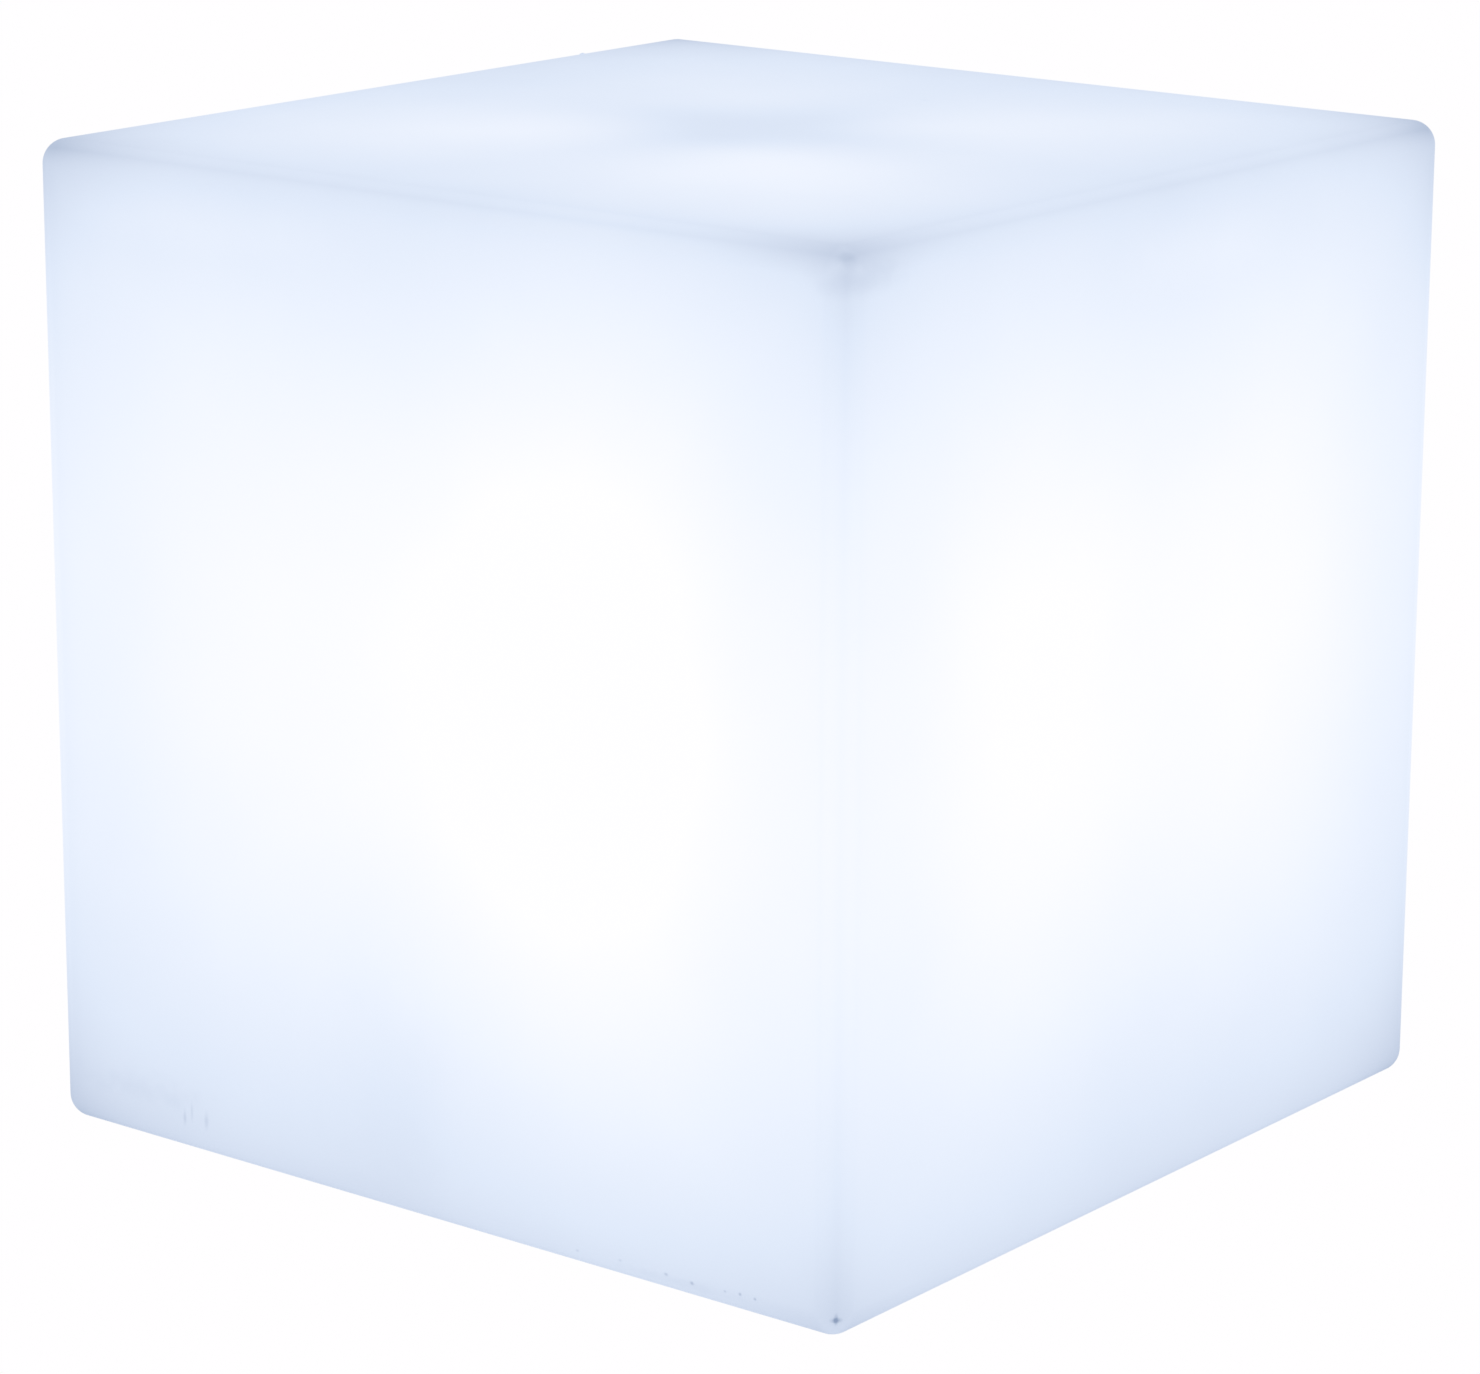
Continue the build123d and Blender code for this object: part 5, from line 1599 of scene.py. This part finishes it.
class Palette:
    """Every finish of the lamp, each made once."""

    def __init__(self) -> None:
        """Make the materials."""
        spark, satin = MouldGrain.SPARK, MouldGrain.SATIN
        finishes = {
            "white_abs": MouldedPlastic("white moulded ABS", "#e6e8ea", "#dcdfe3", satin, 0.42),
            "dark_abs": MouldedPlastic("dark moulded ABS", "#3d4044", "#35383b", spark, 0.5),
            "black_nylon": MouldedPlastic("black moulded nylon", "#1b1c1e", "#232427", spark, 0.5),
            "white_nylon": MouldedPlastic("white moulded nylon", "#e2e0da", "#d8d6cf", satin, 0.45),
            "foot_rubber": SoftRubber("black moulded rubber", "#222224", "#38383a", 0.82),
            "flap_rubber": SoftRubber("dark grey moulded rubber", "#2b2c2e", "#424447", 0.78),
            "seal": SoftRubber("grey moulded silicone", "#8b9199", "#a3a8ae", 0.62),
            "button": SoftRubber("pale moulded silicone", "#cfd4da", "#e0e3e7", 0.58),
            "pad": SoftRubber("thermal pad silicone", "#9aa6b8", "#b2bbc8", 0.85),
            "red_lead": SoftRubber("red silicone insulation", "#b3201e", "#c44a45", 0.5),
            "black_lead": SoftRubber("black silicone insulation", "#1d1d1f", "#343436", 0.5),
            "white_lead": SoftRubber("white silicone insulation", "#dddddb", "#ecebe8", 0.5),
            "zinc": WorkedMetal("zinc-plated steel", "#c3c6cb", "#aeb4bd", MetalWork.TUMBLED, 0.3),
            "sheet_zinc": WorkedMetal(
                "zinc-plated sheet steel", "#b9bdc2", "#a4a9b0", MetalWork.ROLLED, 0.38
            ),
            "nickel": WorkedMetal("nickel-plated strip", "#cfc9bd", "#bdb6a8", MetalWork.ROLLED, 0.25),
            "aluminium": WorkedMetal(
                "anodised extruded aluminium", "#cfd2d6", "#bfc3c8", MetalWork.EXTRUDED, 0.4
            ),
            "clear": ClearPlastic("clear moulded polycarbonate", "#f4f9fb"),
            "green_board": SolderMask("green solder mask", "#135239", "#2c7a55", 3.0),
            "white_board": SolderMask("white solder mask", "#e9eae8", "#d5d8d6", 6.0),
            "phosphor": LitPhosphor("lit phosphor", "#f5e9b0", "#fff9dc", 2.0),
            "wrap": MouldedPlastic("blue shrink wrap", "#1d4f8f", "#1a4680", MouldGrain.POLISHED, 0.25),
        }
        self.made: dict[str, Material] = {name: finish.build() for name, finish in finishes.items()}

    def __getitem__(self, name: str) -> Material:
        """The material of that name."""
        return self.made[name]


@dataclass
class CarriedNodes:
    """The CAD nodes that stay as they are, and the finish of each."""

    finish: dict[str, list[str]] = field(
        default_factory=lambda: {
            "white_abs": ["mounting_collar", "module_tub", "lamp_ring"],
            "dark_abs": ["base_cover"],
            "seal": ["collar_gasket", "module_o_ring", "cover_gasket", "button_seal", "lamp_gasket"],
            "sheet_zinc": ["backing_ring"],
            "zinc": ["flap_hinge_pin"],
            "nickel": ["battery_contacts"],
            "button": ["power_button"],
            "flap_rubber": ["port_cover"],
            "black_nylon": [
                "switch_plunger", "push_switch", "breather_vent", "charge_socket", "board_components",
                "battery_cradle", "battery_clamp", "remote_receiver", "mast_cap",
            ],
            "white_nylon": ["board_connectors"],
            "clear": ["status_light_pipe", "lamp_cover"],
            "phosphor": ["status_led"],
            "green_board": ["control_board", "head_board"],
            "white_board": ["lamp_board_1", "lamp_board_2", "lamp_board_3", "lamp_board_4"],
            "aluminium": ["mast_foot", "mast_post"],
            "pad": ["thermal_pads"],
            "red_lead": ["battery_lead_red"],
            "black_lead": ["battery_lead_black"],
            "white_lead": ["lamp_lead"],
        }
    )

    def dress(self, palette: Palette) -> None:
        """Give each node its material.

        Args:
            palette: The finishes.
        """
        for name, nodes in self.finish.items():
            for node in nodes:
                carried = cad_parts[node]
                carried.data.materials.clear()
                carried.data.materials.append(palette[name])
                LOG.info("%s keeps its CAD shape, in %s", node, palette[name].name)


def screw_sets() -> list[ScrewSet]:
    """Every set of screws, placed where the CAD has them.

    Each row gives the name, CAD node, body, places, aims, size, length under the head, and seed.
    """
    down, up = Aim.DOWN.value, Aim.UP.value
    m4, m3, m2_5, low = ScrewSize.M4, ScrewSize.M3, ScrewSize.M2_5, ScrewSize.M2_5_LOW
    board_face = 18.1
    board_ends = [place for z in (110.7, 318.7) for place in on_circle(board_face, 4, z, start=45)]
    outward = [(x / board_face, y / board_face, 0.0) for x, y, _ in board_ends]
    collar = on_circle(100, 8, 39.0)
    cover = on_circle(74, 6, 28.9)
    board = on_circle(53.7, 4, 44.3, start=45)
    clamp = on_rectangle(0, 32.75, 58.0)
    cradle = on_rectangle(28.0, 40.75, 80.7)
    foot = on_circle(23.7, 4, 90.7, start=45)
    ring = on_circle(40.5, 6, 93.9)
    module = "light_module"
    return [
        ScrewSet("collar_screw_set", "collar_screws", "root", collar, [down] * 8, m4, 16.5, 3),
        ScrewSet("cover_screw_set", "cover_screws", module, cover, [down] * 6, m3, 7.25, 5),
        ScrewSet("board_screw_set", "board_screws", module, board, [up] * 4, m2_5, 9.55, 7),
        ScrewSet("clamp_screw_set", "clamp_screws", module, clamp, [down] * 2, m2_5, 11.45, 9),
        ScrewSet("cradle_screw_set", "cradle_screws", module, cradle, [down] * 4, m2_5, 5.5, 11),
        ScrewSet("foot_screw_set", "mast_foot_screws", module, foot, [up] * 4, m3, 6.8, 13),
        ScrewSet("ring_screw_set", "lamp_ring_screws", module, ring, [up] * 6, m3, 10.0, 15),
        ScrewSet("board_end_screw_set", "lamp_board_screws", module, board_ends, outward, low, 6.1, 17),
    ]


# Setting


@dataclass
class Studio:
    """White ground and backdrop, soft light from all round, and the camera at the photograph's angle."""

    white: str = "#fffeff"
    room_light: float = 0.285
    softbox_light: float = 0.6
    softbox_range: Flat = (-0.97, -0.8)
    ground_size: float = 12000.0
    camera_place: Place = (1255.0, -1603.5, 711.6)
    camera_aim: Place = (-0.5971, 0.7608, -0.2543)
    camera_roll: float = 0.0047
    lens: float = 125.36
    sensor_width: float = 36.0

    def ground(self) -> None:
        """Make the ground: white to the camera from above, and clear to light and to a view from below."""
        half = self.ground_size / 2
        mesh = bpy.data.meshes.new("ground")
        square = ((-1, -1), (1, -1), (1, 1), (-1, 1))
        corners = [(x * half * MILLIMETRE, y * half * MILLIMETRE, 0.0) for x, y in square]
        mesh.from_pydata(corners, [], [(0, 1, 2, 3)])
        ground = new_piece("ground", mesh)
        material = bpy.data.materials.new("white ground")
        material.use_nodes = True
        tree = material.node_tree
        tree.nodes.clear()
        seen = add_node(tree, "ShaderNodeLightPath").outputs["Is Camera Ray"]
        below = add_node(tree, "ShaderNodeNewGeometry").outputs["Backfacing"]
        above = add_node(tree, MATHS, [1.0, below], operation="SUBTRACT")
        shown = add_node(tree, MATHS, [seen, above], operation="MULTIPLY")
        clear = add_node(tree, "ShaderNodeBsdfTransparent")
        lit = add_node(tree, "ShaderNodeEmission", [srgb(self.white), 1.0])
        both = add_node(tree, "ShaderNodeMixShader", [shown, clear, lit])
        add_node(tree, "ShaderNodeOutputMaterial", [both])
        ground.data.materials.append(material)

    def light(self) -> None:
        """Light the room evenly with one low softbox below, and show it to the camera as pure white."""
        world = bpy.data.worlds.new("white room")
        bpy.context.scene.world = world
        world.use_nodes = True
        tree = world.node_tree
        tree.nodes.clear()
        seen = add_node(tree, "ShaderNodeLightPath").outputs["Is Camera Ray"]
        backdrop = add_node(tree, "ShaderNodeBackground", [srgb(self.white), 1.0])
        way = add_node(tree, "ShaderNodeTexCoord").outputs["Generated"]
        height = add_node(tree, "ShaderNodeSeparateXYZ", [way]).outputs["Z"]
        reach = {"From Min": self.softbox_range[0], "From Max": self.softbox_range[1]}
        fade = reach | {"Value": height, "To Min": self.softbox_light, "To Max": 0.0}
        softbox = add_node(tree, "ShaderNodeMapRange", fade, interpolation_type="SMOOTHSTEP")
        strength = add_node(tree, MATHS, [softbox, self.room_light], operation="ADD")
        room = add_node(tree, "ShaderNodeBackground", [srgb("#ffffff"), strength])
        both = add_node(tree, "ShaderNodeMixShader", [seen, room, backdrop])
        add_node(tree, "ShaderNodeOutputWorld", [both])

    def camera(self) -> None:
        """Set the camera where the photograph's was."""
        forward = Vector(self.camera_aim).normalized()
        right = forward.cross(Vector((0.0, 0.0, 1.0))).normalized()
        up = right.cross(forward)
        turned_right = right * math.cos(self.camera_roll) + up * math.sin(self.camera_roll)
        turned_up = up * math.cos(self.camera_roll) - right * math.sin(self.camera_roll)
        data = bpy.data.cameras.new("camera")
        data.lens = self.lens
        data.sensor_width = self.sensor_width
        camera = bpy.data.objects.new("camera", data)
        bpy.context.scene.collection.objects.link(camera)
        turn = Matrix((turned_right, turned_up, -forward)).transposed().to_4x4()
        place = Vector(self.camera_place) * MILLIMETRE
        camera.matrix_world = Matrix.Translation(place) @ turn
        bpy.context.scene.camera = camera

    def build(self) -> None:
        """Set up the ground, the light, the camera and plain colour handling."""
        self.ground()
        self.light()
        self.camera()
        bpy.context.scene.view_settings.view_transform = "Standard"
        LOG.info("studio: ground, even light and camera")


def skin_marks_and_shades() -> tuple[MarkOrShade, ...]:
    """Every mark on the skin, and its soft painted shade and painted light. Sizes are in millimetres, and
    what it dims is a share of full white.
    """
    return (
        # Scuffed patch and its strokes near the floor, on the front
        MarkOrShade((-152, -200, 24), (44, 3, 10), dims=0.03, rag=0.9),
        MarkOrShade((-129, -200, 17), (1.3, 3, 5), dims=0.11, rag=0.3),
        MarkOrShade((-125, -200, 20), (1.1, 3, 6), dims=0.1, rag=0.3),
        MarkOrShade((-117, -200, 18), (1.6, 3, 5), dims=0.08, rag=0.4),
        # Specks and dust along the floor
        MarkOrShade((76.3, -200, 9.0), (1.2, 3, 0.9), dims=0.14, rag=0.3),
        MarkOrShade((97.4, -200, 10.2), (1.1, 3, 0.9), dims=0.13, rag=0.3),
        MarkOrShade((119.6, -200, 10.1), (1.4, 3, 1.0), dims=0.18, rag=0.3),
        MarkOrShade((131.9, -200, 9.5), (1.2, 3, 1.1), dims=0.2, rag=0.3),
        MarkOrShade((147.7, -200, 10.2), (1.0, 3, 0.9), dims=0.17, rag=0.3),
        MarkOrShade((154.8, -200, 10.8), (1.0, 3, 1.0), dims=0.2, rag=0.3),
        MarkOrShade((161.8, -200, 10.6), (1.0, 3, 1.0), dims=0.21, rag=0.3),
        MarkOrShade((125, -200, 8), (48, 4, 3), dims=0.03, rag=0.9),
        # Dark cross-shaped chip at the front corner, and a dull spot at the top one
        MarkOrShade((197, -197, 10), (3.0, 3.0, 1.5), dims=0.26),
        MarkOrShade((197, -197, 10), (1.3, 1.3, 3.4), dims=0.22, rag=0.4),
        MarkOrShade((196.3, -195.5, 401.5), (6, 6, 4), dims=0.08),
        MarkOrShade((199, -190, 394), (22, 34, 8), dims=0.068, rag=0.3),
        # Soft painted shade low between two lobes, and soft painted light under the top edges, cause
        # unknown
        MarkOrShade((-18, -200, 48), (50, 4, 85), dims=0.03, rag=0.2),
        MarkOrShade((-110, -200, 381), (95, 4, 16), dims=-0.022, rag=0.2),
        MarkOrShade((200, 22, 376), (4, 75, 20), dims=-0.024, rag=0.2),
        # Nick and two faint scratches on the top
        MarkOrShade((6.6, 108.7, 405.5), (3.4, 1.3, 1), dims=0.1, rag=0.4),
        MarkOrShade((55, -4.5, 405.5), (27, 1.4, 1), dims=0.025, turn=4),
        MarkOrShade((104, 7.5, 405.5), (28, 1.8, 1), dims=0.02, turn=17),
    )


def main() -> None:
    """Build and dress every piece in order, then set up the studio."""
    logging.basicConfig(level=logging.INFO, format="%(name)s: %(message)s")
    strips = (
        LampStrip(facing=-49.5, strength=0.1928),
        LampStrip(facing=40.5, strength=0.1497),
        LampStrip(facing=130.5, strength=0.0968),
        LampStrip(facing=220.5, strength=0.1620),
    )
    skin = GlowingPolyethylene(
        name="lit rotomoulded polyethylene",
        side=CubeShell.side,
        height=CubeShell.height,
        low=CubeShell.low,
        strips=strips,
        marks=skin_marks_and_shades(),
        recess_radius=RecessPan.inner_radius,
        recess_roof=RecessPan.roof,
    )
    palette = Palette()
    CarriedNodes().dress(palette)
    skin_material = skin.build()
    CubeShell(skin_material).build()
    RecessPan(skin_material).build()
    VentNib(skin_material).build()
    copies = spread_tree()
    BaseFeet().build(copies, palette["foot_rubber"])
    for screws in screw_sets():
        screws.build(copies, palette["zinc"])
    CoverTrim().build(copies, palette["dark_abs"])
    ButtonMark().build(palette["flap_rubber"])
    LampChips().build(copies, palette["phosphor"])
    BatteryCells().build(copies, palette["wrap"])
    Studio().build()


if __name__ == "__main__":
    main()
